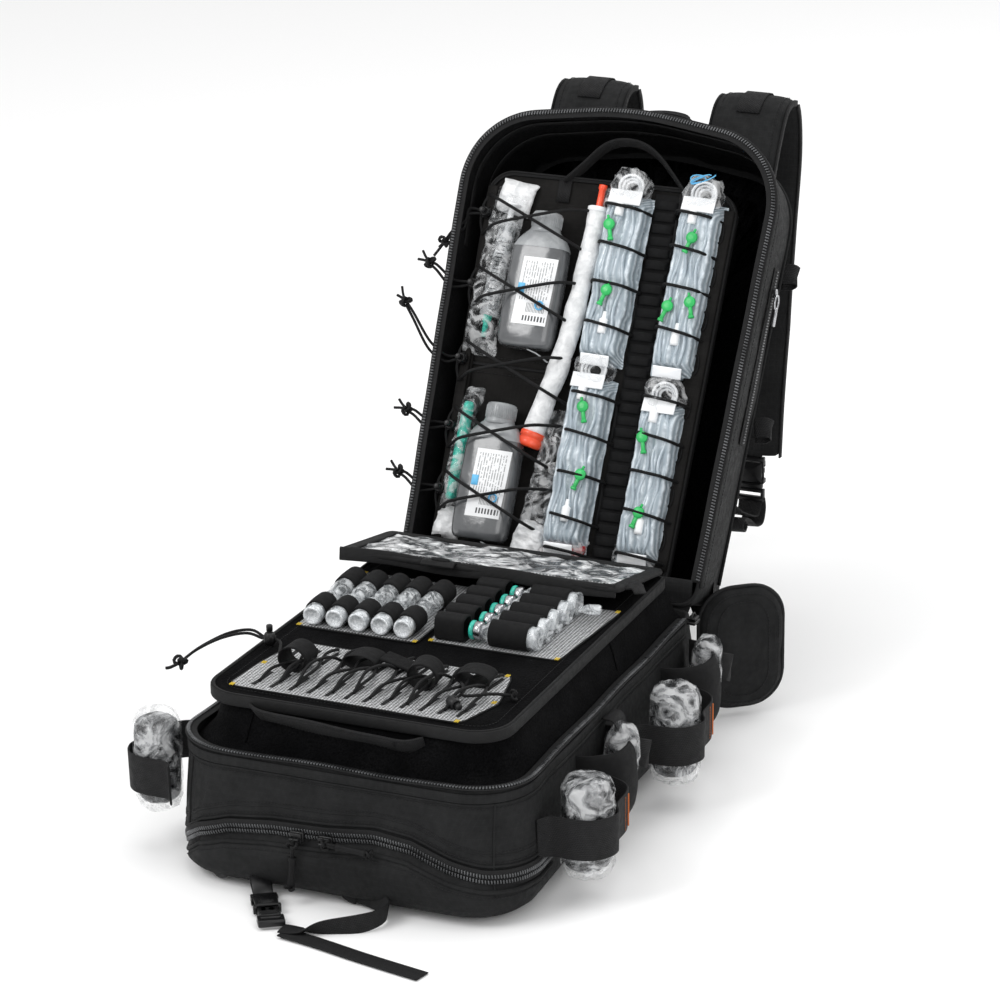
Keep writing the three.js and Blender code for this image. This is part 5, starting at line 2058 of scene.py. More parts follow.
        levels = [
            (0.2, -8.6), (0.55, -8.4), (0.8, -7.4), (0.94, -5), (1.0, -1.5), (1.0, 1.5), (0.94, 5), (0.8, 7.4),
            (0.72, 6.6), (0.55, 8.2), (0.2, 8.6)
        ]
        for share, lift in levels:
            rows.append(ring(share, lift))
        pad = finer(Mesh().grid(rows, wrap=True, caps=True).piece(f"hip_padding_{side.word}", NYLON))
        crumple(pad, 30, 1.0, side.value)
        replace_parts(pad, f"hip_pad_{side.word}")
        seams.tube(ring(1.02, 0), 2.0, 6, closed=True)
        for share, lift in ((0.86, 7.3), (0.86, -7.3), (0.62, 8.2)):
            stitches(seams, ring(share, lift), out, 3.6, 0.7)
        hold = []
        inner_edge = centre - over * 30 * side.value
        for t in [k / 8 for k in range(9)]:
            inner = PLAN.tilt(side.value * (118 - 6 * t), 88 - 76 * t, -126 + 14 * t)
            outer = inner_edge + UP * (50 - 96 * t)
            hold.append([inner.lerp(outer, s / 6) + Vector((0, 5 * sin(pi * s / 6), 0)) for s in range(7)])
        thick = [[p + Vector((0, 2, 0)) for p in row] for row in reversed(hold)]
        wing = finer(Mesh().grid(hold + thick, loop=True).piece(f"hip_wing_{side.word}", NYLON))
        reported("upper", pad, seams.piece(f"hip_seams_{side.word}", THREAD), wing)

    def fittings(self) -> None:
        """The grab handle, the side zip with its ring, and the small tabs."""
        low, high = box_mm("grab_handle")
        route = [(-44, 470), (-40, 484), (-30, 496), (-8, 501), (14, 501), (32, 496), (41, 484), (44, 470)]
        path = smooth([PLAN.tilt(x, u, -100) for x, u in route], 44)
        grab = Mesh().band(path, PLAN.turn((0, 0, 1)), min(20.0, high.z - low.z), 3.0)
        grab.tube(path[12:32], lambda t: 4.6 * (1 - (2 * t - 1) ** 10) + 0.6, 12)
        handle = grab.piece("top_grab_handle", WEBBING)
        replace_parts(handle, "grab_handle")
        flank = PLAN.upper(6)
        order = sorted(
            (i for i, p in enumerate(flank) if p.x > 100 and 170 < p.y < 350), key=lambda i: flank[i].y
        )
        line = even([PLAN.tilt(flank[i].x, flank[i].y, -58) for i in order], 90)
        side_zip = Mesh().band([p + Vector((0.8, 0, 0)) for p in line], PLAN.turn((0, 0, 1)), 15, 1.2)
        teeth = coil(Mesh(), [p + Vector((1.8, 0, 0)) for p in line], PLAN.turn((0, 0, 1)), 2.8, 4.2)
        at = PLAN.tilt(flank[order[-1]].x + 3.5, 322, -58)
        ring = [at + Vector((2.5, 0, 0)) + PLAN.turn((0, -6 + 7 * cos(a), 5.5 * sin(a))) for a in turns(26)]
        pull = Mesh().tube(ring, 1.3, 8, closed=True).block(at + PLAN.turn((0, 3, 0)), (4, 5, 9), None, 0.4)
        tail = at + PLAN.turn((3, -13, 0))
        pull.block(tail + PLAN.turn((0, -8, 0)), (3.4, 5, 18), axes(PLAN.turn((0, 1, 0))), 0.45)
        tab = Mesh()
        for u, w in ((196, -100), (352, -98)):
            point = PLAN.tilt(flank[order[0]].x - 4, u, w)
            tab.band(
                smooth(
                    [
                        point, point + Vector((10, 3, 1)), point + Vector((15, 7, -3)),
                        point + Vector((8, 8, -8)), point + Vector((0, 6, -8))
                    ],
                    16
                ),
                PLAN.turn((0, 1, 0)), 20, 1.7
            )
        reported(
            "upper", handle, side_zip.piece("side_zip_tape", BINDING), teeth.piece("side_zip_teeth", TEETH),
            pull.piece("side_zip_ring", STEEL), tab.piece("compression_tabs", WEBBING),
        )

    def build(self) -> None:
        """Makes the whole upper half."""
        self.shell()
        self.zip()
        self.back_pad()
        for side in Side:
            self.shoulder(side)
            self.hip_pad(side)
        self.fittings()


# ---- organiser insert ---------------------------------------------------------------------


@dataclass
class Insert:
    """The organiser board in the upper half, with everything strapped to it."""

    face: float = -22.0
    cord: float = 1.6

    def at(self, x: float, u: float, lift: float = 0.0) -> Vector:
        """A point over the board, from across, up the board and off its face."""
        return PLAN.tilt(x, u, self.face + lift)

    def off(self, x: float = 0.0, u: float = 0.0, w: float = 1.0) -> Vector:
        """A direction in the board's frame."""
        return PLAN.turn((x, u, w)).normalized()

    def outline(self, inset: float) -> list[Vector]:
        """The board's outline, evenly spaced."""
        i = inset
        corners = [(-136 + i, 20 + i), (116 - i, 20 + i), (122 - i, 412 - i), (-144 + i, 412 - i)]
        low, high = max(10 - i, 2), max(26 - i, 3)
        return even(rounded(corners, [low, low, high, high], 8), 240, True)

    def ring(self, inset: float, lift: float) -> list[Vector]:
        """The outline at a height off the board's face."""
        return [self.at(p.x, p.y, lift) for p in self.outline(inset)]

    def board(self) -> None:
        """The cloth board with its bound edge, rails, webbing handle and laddered strip."""
        levels = [
            (40, -5), (2, -5), (0, -3), (0, -1.4), (1.4, 0), (6, 0.3), (12, 0.2), (40, 0.2), (80, 0.2),
            (118, 0.2)
        ]
        cloth = Mesh().grid(
            [self.ring(a, w) for a, w in levels], wrap=True, caps=True
        ).piece("insert_cloth", BOARD)
        crumple(cloth, 50, 0.5)
        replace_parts(cloth, "insert_board")
        edge = Mesh().band(self.ring(0.2, -1.6), self.off(), 8.5, 2.4, closed=True)
        edge.tube(self.ring(2.6, 1.2), 1.7, 6, closed=True)
        rails = Mesh()
        left = [(-135.5 - 0.02 * (u - 30), u) for u in range(34, 401, 12)]
        right = [(109.5 + 0.015 * (u - 30), u) for u in range(34, 401, 12)]
        for line, shift, wide in ((left, 5.5, 13), (right, -4, 19)):
            side = self.off(1, 0, 0.45) if line is left else self.off(-1, 0, 0.16)
            rails.band([self.at(x + shift, u, 5.2) for x, u in line], side, wide, 3.2)
            rails.tube([self.at(x + shift * (2.1 if line is left else 3.2), u, 3.0) for x, u in line], 1.9, 6)
        rails.band(
            [self.at(-12.5 - 0.012 * (400 - u), u, 2.6) for u in range(26, 405, 12)], self.off(1, 0, 0.5), 8,
            4.5
        )
        strip = Mesh().band([self.at(48, u, 1.4) for u in range(24, 405, 10)], self.off(1, 0, 0), 26, 1.6)
        rungs = Mesh()
        for k in range(31):
            u = 30 + 12.1 * k
            path = [
                self.at(36 + 24 * t, u, 2.6 + 3.0 * sin(pi * t) * (0.5 + 0.5 * ((k * 5) % 3)))
                for t in [s / 8 for s in range(9)]
            ]
            rungs.band(path, self.off(0, 1, 0.15), 8.6, 1.4)
        seams = Mesh()
        for u in (206, 222):
            stitches(seams, [self.at(x, u, 0.8) for x in range(-128, -16, 8)], self.off(), 3.6, 0.6)
        seams.tube([self.at(x, 214, 1.2) for x in range(-128, -14, 6)], 1.6, 6)
        slots = Mesh()
        for k in range(8):
            u = 62 + 44 * k
            x = 105.5 + 0.015 * (u - 30)
            oval = [self.at(x + 3.2 * cos(a), u + 9.5 * sin(a), 7.4) for a in turns(24)]
            slots.tube(oval, 1.0, 6, closed=True)
        knots = [(-62, 406), (-44, 424), (-26, 443), (-8, 451), (14, 450), (32, 441), (50, 424), (67, 405)]
        route = smooth([self.at(x, u, 2 + 6 * sin(pi * i / 7)) for i, (x, u) in enumerate(knots)], 50)
        grip = Mesh().band(route, self.off(0, 0.5, 1), 13, 2.2)
        for x, u in ((-62, 402), (67, 401)):
            grip.band(
                [self.at(x, u + 6, 2.0), self.at(x, u - 6, 1.8), self.at(x, u - 16, 1.6)], self.off(1, 0, 0),
                14, 2
            )
        reported(
            "insert", cloth, edge.piece("insert_binding", BINDING), rails.piece("insert_rails", BOARD),
            strip.piece("ladder_strip", ELASTIC), rungs.piece("ladder_rungs", ELASTIC),
            seams.piece("insert_seams", THREAD), slots.piece("rail_slots", LINING),
            grip.piece("insert_handle", WEBBING)
        )

    def bottle(self, node: str, x: float, u: float) -> None:
        """A flat grey bottle with a ribbed cap and a printed label."""
        stops = [
            (0.0, 46, 24), (1.5, 51, 28), (5, 56, 31.5), (11, 58.5, 33), (56, 59, 33), (92, 59, 33),
            (101, 57, 32), (108, 52, 30), (114, 44, 28), (118, 35, 25.5), (120, 30, 24), (124, 29, 24)
        ]

        def section(h: float, wide: float, deep: float, share: float = 1.0) -> list[Vector]:
            """One closed row across the bottle."""
            found = []
            for a in turns(56):
                c, n = cos(a), sin(a)
                power = 0.62 if h < 112 else 0.9
                px = copysign(abs(c) ** power, c) * wide / 2 * share
                pz = copysign(abs(n) ** power, n) * deep / 2 * share
                found.append(self.at(x + px, u + h, 17 + pz))
            return found

        body = Mesh().grid([section(*s) for s in stops[:8]], wrap=True, caps=True).piece(f"{node}_body", BOTTLE)
        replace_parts(finer(body), node)
        top = finer(
            Mesh().grid(
                [section(h, a, b, 1.012) for h, a, b in stops[6:]], wrap=True
            ).piece(f"{node}_shoulder", BOTTLE_TOP)
        )
        spin = placed(self.at(x, u + 117, 17), self.off(0, 1, 0), self.off(1, 0, 0))
        cap = Mesh().lathe(
            [
                (14.6, 0), (15.2, 0.8), (15.2, 4.2), (14.4, 5), (14.8, 5.6), (15, 6.2), (15, 19), (14.2, 20.6),
                (12.4, 21.4), (0.5, 21.4)
            ],
            spin, 60
        )
        for a in turns(40):
            cap.block(
                spin @ Vector((15 * cos(a), 15 * sin(a), 12.5)), (0.9, 0.9, 12),
                spin.to_3x3() @ Matrix.Rotation(a, 3, "Z"), 0.4
            )
        hook = Mesh().band(
            smooth([self.at(x + 8, u - 2, 24), self.at(x + 20, u - 6, 28), self.at(x + 30, u - 12, 26)], 12),
            self.off(), 8, 1.2
        )
        label = Mesh()
        rows, size = [], (20, 10)
        for k in range(size[0] + 1):
            t = k / size[0]
            rows.append(
                [
                    self.at(
                        x + 4 - 17 + 36 * s / size[1] + 2 * t, u + 22 + 68 * t,
                        33.9 - 1.4 * abs(2 * s / size[1] - 0.75) ** 3
                    )
                    for s in range(size[1] + 1)
                ]
            )
        label.grid(rows)
        label.flat = [(s / size[1], k / size[0]) for k in range(size[0] + 1) for s in range(size[1] + 1)]
        mark = Mesh()
        ring = [self.at(x + 14 + 4 * cos(a), u + 42 + 4 * sin(a), 34.3) for a in turns(24)]
        mark.tube(ring, 0.9, 6, closed=True)
        mark.block(self.at(x - 8, u + 58, 34.4), (7, 10, 0.4), axes(self.off(), self.off(1, 0, 0)), 0.3)
        reported(
            "insert", body, top, cap.piece(f"{node}_cap", BOTTLE_TOP), label.piece(f"{node}_label", LABEL),
            mark.piece(f"{node}_mark", BLUE), hook.piece(f"{node}_hanger", BOTTLE_TOP),
        )

    def pouch_of(
        self, name: str, finish: Finish, start: Point, end: Point, wide: float, deep: float, puff: float = 2.0,
        seed: float = 0.0, flare: float = 1.2
    ) -> bpy.types.Object:
        """A soft flat-ended packet lying along the board.

        Args:
            name: the piece's name.
            finish: its finish.
            start: across and up of its lower end.
            end: across and up of its upper end.
            wide: its width.
            deep: its depth in the middle.
            puff: how far its surface crumples.
            seed: varies the crumple.
            flare: how much wider its sealed ends are.

        Returns:
            The object.
        """
        a, b = vec(start), vec(end)
        rows = []
        side = Vector((-(b - a).y, (b - a).x, 0)).normalized() * -1
        for k in range(29):
            t = k / 28
            fill = max(0.05, min(1.0, sin(pi * t) * 1.9)) ** 0.7
            middle = a.lerp(b, t)
            half = wide / 2 * (1 + (flare - 1) * (1 - fill))
            ring = []
            for s in range(32):
                angle = 2 * pi * s / 32
                c, n = cos(angle), sin(angle)
                across = middle + side * half * copysign(abs(c) ** 0.8, c)
                lift = deep / 2 * fill
                ring.append(
                    self.at(
                        across.x, across.y, 1.0 + deep / 2 * 0.85 * fill + lift * copysign(abs(n) ** 0.85, n)
                    )
                )
            rows.append(ring)
        made = finer(Mesh().grid(rows, wrap=True, caps=True).piece(name, finish))
        return crumple(crumple(made, 15, puff, seed), 6, puff * 0.45, seed + 2)

    def syringe(self) -> None:
        """The wrapped syringe: film, barrel with graduations, plunger, tip and paper top."""
        film = self.pouch_of("syringe_film", FILM, (-121, 222), (-113, 396), 33, 22, 2.2, 3.0)
        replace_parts(film, "syringe_pack")
        base = placed(self.at(-115.5, 262, 11), self.off(0.045, 1, 0), self.off(1, 0, 0))
        barrel = Mesh().lathe(
            [(0.5, 0), (8.5, 0), (9, 1), (9, 92), (12, 93), (12, 95), (9, 96), (0.5, 96)], base, 30
        )
        rod = Mesh().lathe(
            [(0.5, 62), (7.6, 62), (7.6, 67), (3, 68), (3, 112), (8.5, 113), (8.5, 115), (0.5, 115)], base, 20
        )
        marks = Mesh()
        for k in range(16):
            arc = [
                base @ Vector((9.2 * cos(a), 9.2 * sin(a), 14 + 4 * k))
                for a in [-1.9 + 0.1 * s for s in range(10 if k % 5 else 15)]
            ]
            marks.tube(arc, 0.4, 4)
        tip = Mesh().lathe([(0.5, -22), (2.4, -22), (3.0, -8), (4.2, -7), (4.6, 0), (0.5, 0)], base, 16)
        head = self.pouch_of("syringe_paper", PAPER, (-113, 368), (-108, 402), 36, 9, 1.4, 8.0, 1.1)
        reported(
            "insert", film, barrel.piece("syringe_barrel", GLASS), rod.piece("syringe_plunger", WHITE),
            marks.piece("syringe_marks", THREAD), tip.piece("syringe_tip", TEAL), head
        )

    def left_items(self) -> None:
        """The teal syringe, the paper packets and the long drain tube."""
        teal = Mesh().lathe(
            [(0.5, 0), (5, 0), (6.2, 3), (6.2, 96), (5, 100), (0.5, 100)],
            placed(self.at(-121, 74, 9), self.off(0.02, 1, 0)), 24
        )
        teal_rod = finer(teal.piece("teal_syringe", TEAL))
        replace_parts(teal_rod, "teal_pack")
        wrap = self.pouch_of("teal_wrap", FILM, (-122, 58), (-117, 190), 19, 17, 1.6, 5.0)
        low = self.pouch_of("teal_paper", PAPER, (-122, 35), (-120, 68), 26, 10, 1.5, 6.0, 1.15)
        side = self.pouch_of("dressing_wrap", PAPER, (-34, 24), (-26, 62), 32, 20, 2.4, 9.0, 1.0)
        tube_film = self.pouch_of("dressing_film", FILM, (-32, 52), (-20, 176), 26, 15, 2.0, 10.0)
        spoon = Mesh().tube(
            smooth([self.at(-66, 28, 20), self.at(-50, 22, 26), self.at(-36, 14, 26)], 14),
            lambda t: 1.6 + 2.2 * t, 10
        )
        path = smooth(
            [
                self.at(x, u, 13)
                for x, u in ((-18, 380), (-19, 340), (-22, 290), (-26, 246), (-33, 206), (-40, 172), (-44, 152))
            ],
            60
        )
        tube = Mesh().tube(
            path, lambda t: 10.2 - 1.4 * (sin(13 * t) ** 2) * (1 - t) + 0.8 * t, 20
        ).piece("drain_tube_wrap", PAPER)
        crumple(finer(tube), 20, 1.3, 2.0)
        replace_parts(tube, "drain_tube")
        top = placed(path[0], (path[0] - path[2]).normalized())
        plug = Mesh().lathe(
            [(0.5, -6), (8, -6), (8, 1), (4, 2), (3.4, 4), (3.4, 20), (4.2, 21), (4.2, 25), (0.5, 25.5)], top,
            24
        ).piece("drain_red_plug", VERMILION)
        collar = Mesh().lathe([(8, -3), (10.6, -3), (10.9, -1), (10.9, 1.6), (9.6, 2.4), (5, 2.4)], top, 30)
        foot = placed(path[-1], (path[-1] - path[-3]).normalized())
        collar.lathe([(9, -6), (10.8, -6), (11, -4), (11, 2), (9, 2)], foot, 30)
        cap = Mesh().lathe(
            [
                (9, 1), (11.5, 1), (12.2, 2), (12.2, 6), (11, 7), (11, 8), (12.2, 9), (12.2, 14), (10.6, 16.5),
                (3, 17), (0.5, 14)
            ],
            foot, 36
        )
        extra = self.pouch_of("small_sachet", FILM, (-10, 346), (-2, 404), 26, 14, 2.0, 12.0)
        sheet = self.pouch_of("small_sachet_paper", PAPER, (-8, 376), (-2, 402), 20, 8, 1.2, 13.0)
        reported(
            "insert", teal_rod, wrap, low, side, tube_film, spoon.piece("clear_spoon", GLASS), tube, plug,
            collar.piece("drain_collars", WHITE), cap.piece("drain_red_cap", VERMILION), extra, sheet
        )

    def infusion(self, number: int, start: Point, end: Point, clamps: Sequence[float]) -> None:
        """One infusion set: the ribbed blister, its coiled top, clamps and connectors."""
        a, b = vec(start), vec(end)
        side = Vector((-(b - a).y, (b - a).x, 0)).normalized() * -1
        rows = []
        profile = [
            (-1.12, 3), (-1.06, 2.2), (-0.98, 7), (-0.94, 17), (-0.86, 22), (-0.66, 24), (-0.5, 21),
            (-0.36, 24.5), (-0.2, 26), (-0.08, 22.5)
        ]
        profile += [
            (0.1, 22.5), (0.22, 26), (0.4, 24.5), (0.52, 21), (0.68, 24), (0.88, 22), (0.95, 16), (0.98, 7),
            (1.06, 2.2), (1.12, 3)
        ]
        total = (b - a).length
        for k in range(34):
            t = k / 33
            ease = min(1.0, min(t, 1 - t) * 13 + 0.12)
            row = []
            for x, high in profile:
                p = a.lerp(b, t) + side * x * 21
                wave = 1.6 * noise.noise(Vector((x * 2, t * 9, number * 3.7)))
                step = 2.6 * sin(t * total / 14 + number) if abs(x) < 0.9 else 0.0
                row.append(
                    self.at(
                        p.x, p.y, 1.5 + (high + step * 0.5 + wave) * ease * (0.93 if 0.3 < t < 0.5 else 1.0)
                    )
                )
            rows.append(row)
        tray = finer(Mesh().grid(rows).piece(f"infusion_blister_{number}", BLISTER))
        crumple(tray, 9, 0.9, number)
        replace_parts(tray, f"infusion_set_{number}")
        head = b + (b - a).normalized() * 6
        centre = self.at(head.x, head.y + 2, 14)
        bulb = Mesh().lathe(
            [(1, -19), (12, -17), (19, -10), (21.5, 0), (19, 10), (12, 17), (1, 19)],
            placed(centre, self.off(0, 1, 0.2), self.off(1, 0, 0)), 32
        )
        film = crumple(
            crumple(finer(bulb.piece(f"infusion_bulb_{number}", FILM)), 13, 4.0, number * 2.1), 6, 1.5, number
        )
        coils = Mesh()
        for k in range(3):
            r = 12.5 - 2.6 * k
            ring = [
                centre + self.off(1, 0, 0) * r * cos(s) + self.off(0, 1, 0.1) * (r - 1) * sin(s)
                + self.off() * (2 - 3 * k)
                for s in turns(30)
            ]
            coils.tube(ring, 1.5, 7, closed=True)
        flap = Mesh()
        rise = Vector((b - a)).normalized()
        tip = b - rise * 5
        flap.block(
            self.at(tip.x, tip.y, 26.5), (34, 15, 1.6), axes(self.off(0, 0.18, 1), self.off(side.x, side.y, 0)),
            0.5
        )
        foot = a + rise * 3
        flap.block(
            self.at(foot.x, foot.y, 22), (30, 11, 1.4), axes(self.off(0, -0.3, 1), self.off(side.x, side.y, 0)),
            0.5
        )
        for t, shift in ((0.17, 3), (0.86, -4)):
            p = a.lerp(b, t) + side * shift
            flap.lathe(
                [(0.5, 0), (4.4, 0), (4.6, 3), (4.6, 14), (2.6, 16), (2.2, 22), (0.5, 22.4)],
                placed(self.at(p.x, p.y, 25.5), self.off(rise.x, rise.y, 0)), 16
            )
        pipes = Mesh()
        for shift in (-11, -3, 5, 12):
            line = [
                a.lerp(b, 0.06 + 0.88 * s / 20) + side * (shift + 1.8 * sin(s * 0.9 + shift)) for s in range(21)
            ]
            pipes.tube(
                [self.at(p.x, p.y, 24.5 + 1.2 * sin(i * 0.7 + shift)) for i, p in enumerate(line)], 1.7, 7
            )
        green = Mesh()
        for k, t in enumerate(clamps):
            p = a.lerp(b, t) + side * (-10 + 11 * ((k * 2 + number) % 3))
            spot = self.at(p.x, p.y, 29.5)
            lean = self.off(rise.x + 0.3 * (-1) ** k, rise.y, 0)
            green.lathe(
                [(1.4, -1.6), (5.4, -1.6), (5.8, -0.6), (5.8, 1.2), (5.0, 2.0), (1.4, 2.0)],
                placed(spot, self.off()), 20
            )
            green.block(spot - lean * 9, (3.8, 13, 3.0), axes(self.off(), lean.cross(self.off())), 0.4)
            green.block(spot - lean * 15, (5.4, 3, 4.0), axes(self.off(), lean.cross(self.off())), 0.4)
            green.tube([spot + lean * 5 + self.off() * 1.0, spot + lean * 9 + self.off() * 0.6], 1.4, 7)
        reported(
            "insert", tray, film, coils.piece(f"infusion_coils_{number}", WHITE),
            flap.piece(f"infusion_fittings_{number}", WHITE), pipes.piece(f"infusion_tubing_{number}", BLISTER),
            green.piece(f"infusion_clamps_{number}", GREEN)
        )

    def bottom_items(self) -> None:
        """The red packet and the crumpled film at the foot of the third row."""
        red = self.pouch_of("red_packet", RED, (7, 27), (9, 50), 40, 17, 2.4, 20.0, 1.0)
        film = self.pouch_of("red_packet_film", FILM, (3, 25), (8, 56), 44, 22, 3.2, 22.0, 1.05)
        film_two = self.pouch_of("foot_film", FILM, (80, 26), (84, 52), 42, 20, 3.0, 24.0, 1.05)
        blue = Mesh()
        for k in range(3):
            ring = [
                self.at(90 + (8 + 2 * k) * cos(s) + 3 * k - 4, 418 + (4 + k) * sin(s + k), 29 + k)
                for s in [2 * pi * j / 20 for j in range(16)]
            ]
            blue.tube(ring, 0.6, 5)
        reported("insert", red, film, film_two, blue.piece("blue_printed_lines", BLUE))

    def span(self, mesh: Mesh, start: Point, end: Point, crest: float) -> None:
        """A stretched shock cord over the contents, from one eyelet to another."""
        a, b = vec(start), vec(end)
        stops = []
        for t, lift in (
            (0, 3), (0.10, crest * 0.55), (0.22, crest * 0.94), (0.5, crest), (0.78, crest * 0.94),
            (0.90, crest * 0.55), (1, 3)
        ):
            p = a.lerp(b, t)
            stops.append(self.at(p.x, p.y, lift))
        mesh.tube(smooth(stops, 34), self.cord, 8)

    def cords(self) -> None:
        """The shock cord lacing: crossings on the left, rungs over the infusion sets."""
        lace = Mesh()
        levels = [366, 292, 216, 148, 84]
        for high in levels:
            x = -133 - 0.02 * high
            self.span(lace, (x, high + 20), (-14, high - 34), 37)
            self.span(lace, (x, high - 22), (-14, high + 14), 38.5)
            lace.tube(
                smooth([self.at(x, high + 20, 3), self.at(x - 3, high + 9, 6), self.at(x - 2, high, 10)], 12),
                self.cord, 7
            )
            lace.tube(
                smooth([self.at(x, high - 22, 3), self.at(x - 3, high - 10, 6), self.at(x - 2, high, 10)], 12),
                self.cord, 7
            )
        for x0, x1, rows in (
            (-15, 37, (386, 348, 308, 268, 196, 158, 116, 74, 40)),
            (60, 112, (386, 352, 312, 270, 200, 164, 126, 88, 44))
        ):
            for k, u in enumerate(rows):
                drop = 5 + 3 * (k % 2)
                self.span(lace, (x0, u), (x1, u - drop), 30.5)
        for x in (34.5, 62):
            for u0, u1 in ((386, 348), (308, 268), (196, 158), (116, 74)):
                lace.tube(
                    [self.at(x, u0 - 6, 3.2), self.at(x, (u0 + u1) / 2 - 6, 2.2), self.at(x, u1 - 6, 3.2)],
                    self.cord, 7
                )
        reported("insert", lace.piece("insert_lacing", SHOCK_CORD))

    def locks(self) -> None:
        """The five cord locks with their buttons and knotted tails."""
        ends = [(-35, -34, 6), (-46, 14, 10), (-64, 46, 16), (-44, 8, 10), (-42, 9, 10)]
        for i, (dx, du, dw) in enumerate(ends, start=1):
            low, high = box_mm(f"cord_lock_{i}")
            u = [366, 292, 216, 148, 84][i - 1]
            x = (low.x + high.x) / 2
            base = placed(self.at(x, u, 4.3), self.off(), self.off(1, 0, 0))
            barrel = lock_barrel(Mesh(), base).piece(f"lock_barrel_{i}", PLASTIC)
            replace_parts(barrel, f"cord_lock_{i}")
            button = lock_button(
                Mesh(), placed(self.at(x, u, 4.3 + 15.4), self.off(), self.off(1, 0, 0))
            ).piece(f"lock_button_{i}", PLASTIC)
            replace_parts(button, f"cord_lock_{i}_button")
            last: Vector = Vector()
            for name, bow in (("one", 1.6), ("two", -1.6)):
                route = smooth(
                    [
                        self.at(x - 6, u + bow, 10), self.at(x - 18, u + bow * 2.0 - 2, 12),
                        self.at(x + dx * 0.55, u + du * 0.3 + bow * 2.4 - 5, 10 + dw * 0.5),
                        self.at(x + dx * 0.85, u + du * 0.75 + bow * 1.6, 10 + dw * 0.9),
                        self.at(x + dx, u + du + bow, 10 + dw)
                    ],
                    28
                )
                tail_cord(f"lock_tail_{i}_{name}", route, f"cord_lock_{i}")
                last = route[-1] - route[-3]
            tip = self.at(x + dx, u + du, 10 + dw)
            end = knot(Mesh(), tip + last.normalized() * 2, last, 3.4)
            for spread in (-1, 1):
                end.tube(
                    smooth(
                        [
                            tip + last.normalized() * 3,
                            tip + last.normalized() * 9 + self.off(0.3 * spread, spread, 0) * 2,
                            tip + last.normalized() * 15 + self.off(0.4 * spread, spread, 0) * 5
                        ],
                        8
                    ),
                    1.4, 6
                )
            reported(f"cord_lock_{i}", barrel, end.piece(f"lock_knot_{i}", SHOCK_CORD))
            reported(f"cord_button_{i}", button)

    def build(self) -> None:
        """Makes the whole insert."""
        self.board()
        self.bottle("bottle_upper", -68, 232)
        self.bottle("bottle_lower", -80, 36)
        self.syringe()
        self.left_items()
        self.infusion(1, (9, 226), (13, 398), (0.42, 0.80))
        self.infusion(2, (6, 36), (8, 212), (0.44, 0.82))
        self.infusion(3, (86, 222), (90, 398), (0.38, 0.42, 0.78))
        self.infusion(4, (84, 36), (86, 196), (0.30, 0.76))
        self.bottom_items()
        self.cords()
        self.locks()


# ---- studio -------------------------------------------------------------------------------


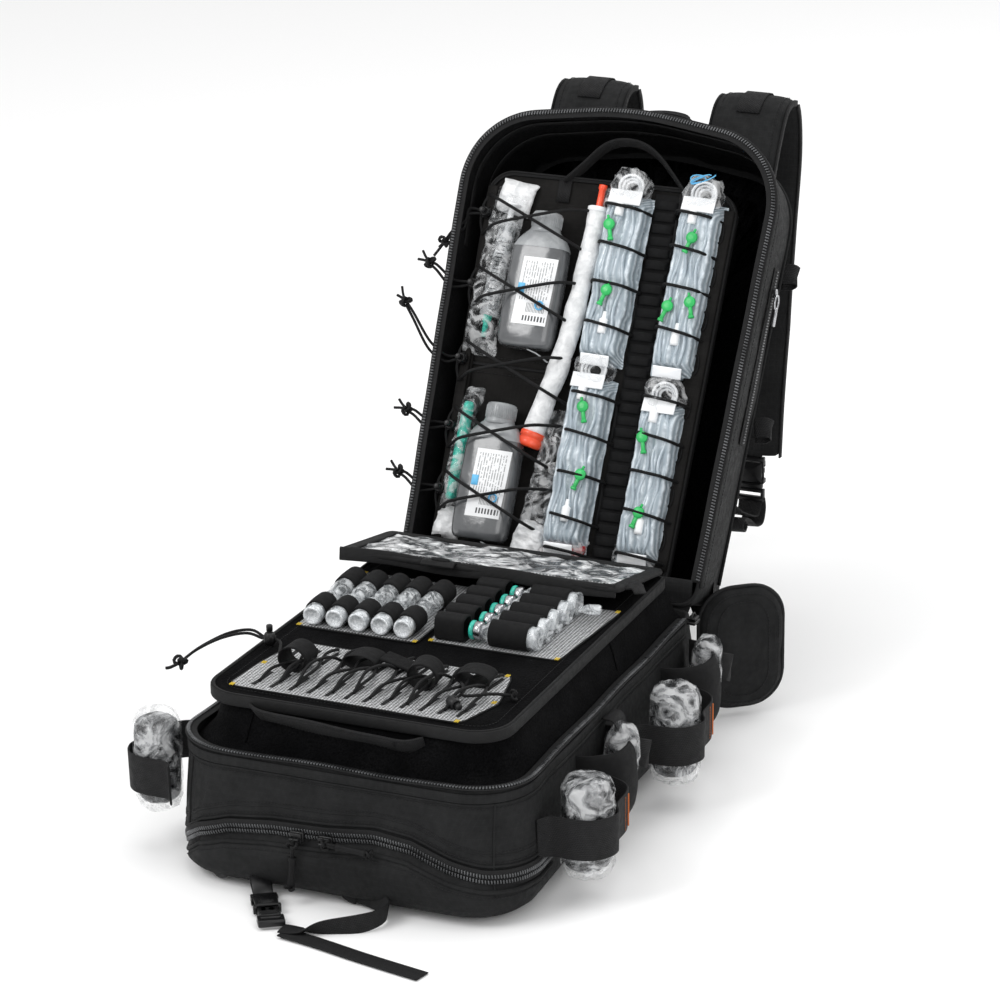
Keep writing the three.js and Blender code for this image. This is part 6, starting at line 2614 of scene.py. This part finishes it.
@dataclass
class Studio:
    """The pale floor, the soft lights and the camera."""

    azimuth: float = 23.46
    elevation: float = 19.78
    roll: float = -0.56
    distance: float = 4.0
    lens: float = 151.3
    target: tuple[float, float, float] = (-0.009, 0.15, 0.248)
    sensor: float = 36.0
    floor_half: float = 30.0
    floor_tone: float = 0.93
    sky: float = 0.8

    def camera(self) -> None:
        """Makes the camera."""
        data = bpy.data.cameras.new("camera")
        data.lens = self.lens
        data.sensor_width = self.sensor
        made = bpy.data.objects.new("camera", data)
        bpy.context.scene.collection.objects.link(made)
        a, e, r = (radians(v) for v in (self.azimuth, self.elevation, self.roll))
        back = Vector((sin(a) * cos(e), -cos(a) * cos(e), sin(e)))
        right = Vector((cos(a), sin(a), 0))
        up = back.cross(right)
        right, up = right * cos(r) + up * sin(r), up * cos(r) - right * sin(r)
        turn = Matrix((right, up, back)).transposed().to_4x4()
        made.matrix_world = Matrix.Translation(Vector(self.target) + back * self.distance) @ turn
        bpy.context.scene.camera = made

    def floor(self) -> None:
        """A plain pale floor."""
        data = bpy.data.meshes.new("floor")
        size = self.floor_half
        data.from_pydata(
            [(-size, -size, 0), (size, -size, 0), (size, size, 0), (-size, size, 0)], [], [(0, 1, 2, 3)]
        )
        made = bpy.data.objects.new("floor", data)
        bpy.context.scene.collection.objects.link(made)
        pale = bpy.data.materials.new("pale_floor")
        pale.use_nodes = True
        shader = pale.node_tree.nodes["Principled BSDF"]
        shader.inputs["Base Color"].default_value = (self.floor_tone, self.floor_tone, self.floor_tone, 1)
        shader.inputs["Roughness"].default_value = 0.9
        shader.inputs["Specular IOR Level"].default_value = 0.1
        data.materials.append(pale)
        made.location = (0, 0, -0.0006)

    def lamp(self, name: str, at: Point, size: float, power: float) -> None:
        """A soft square light aimed at the pack."""
        data = bpy.data.lights.new(name, "AREA")
        data.size = size
        data.energy = power
        made = bpy.data.objects.new(name, data)
        bpy.context.scene.collection.objects.link(made)
        made.location = at
        aim = Vector(self.target) - Vector(at)
        made.rotation_euler = aim.to_track_quat("-Z", "Y").to_euler()

    def lights(self) -> None:
        """The soft key, fill, rim and sky."""
        self.lamp("key", (-1.6, -1.9, 2.6), 1.6, 46)
        self.lamp("fill", (2.4, -2.2, 1.6), 2.0, 20)
        self.lamp("rim", (1.4, 2.6, 2.4), 1.8, 30)
        self.lamp("top", (0.1, 0.2, 3.0), 2.2, 20)
        world = bpy.data.worlds.new("pale_world")
        bpy.context.scene.world = world
        world.use_nodes = True
        sky = world.node_tree.nodes["Background"]
        sky.inputs["Color"].default_value = (1, 1, 1, 1)
        sky.inputs["Strength"].default_value = self.sky
        bpy.context.scene.view_settings.view_transform = "Standard"

    def build(self) -> None:
        """Makes the whole studio."""
        self.floor()
        self.lights()


def main() -> None:
    """Builds the pack in order: camera, lower half, flap, pouch, upper half and insert."""
    logging.basicConfig(level=logging.INFO, format="%(name)s: %(message)s")
    studio = Studio()
    studio.camera()
    for part in (FlapPanel(), LowerBody(), WindowPouch(), UpperBody(), Insert()):
        part.build()
        LOG.info("%s is done", type(part).__name__)
    studio.build()


if __name__ == "__main__":
    main()
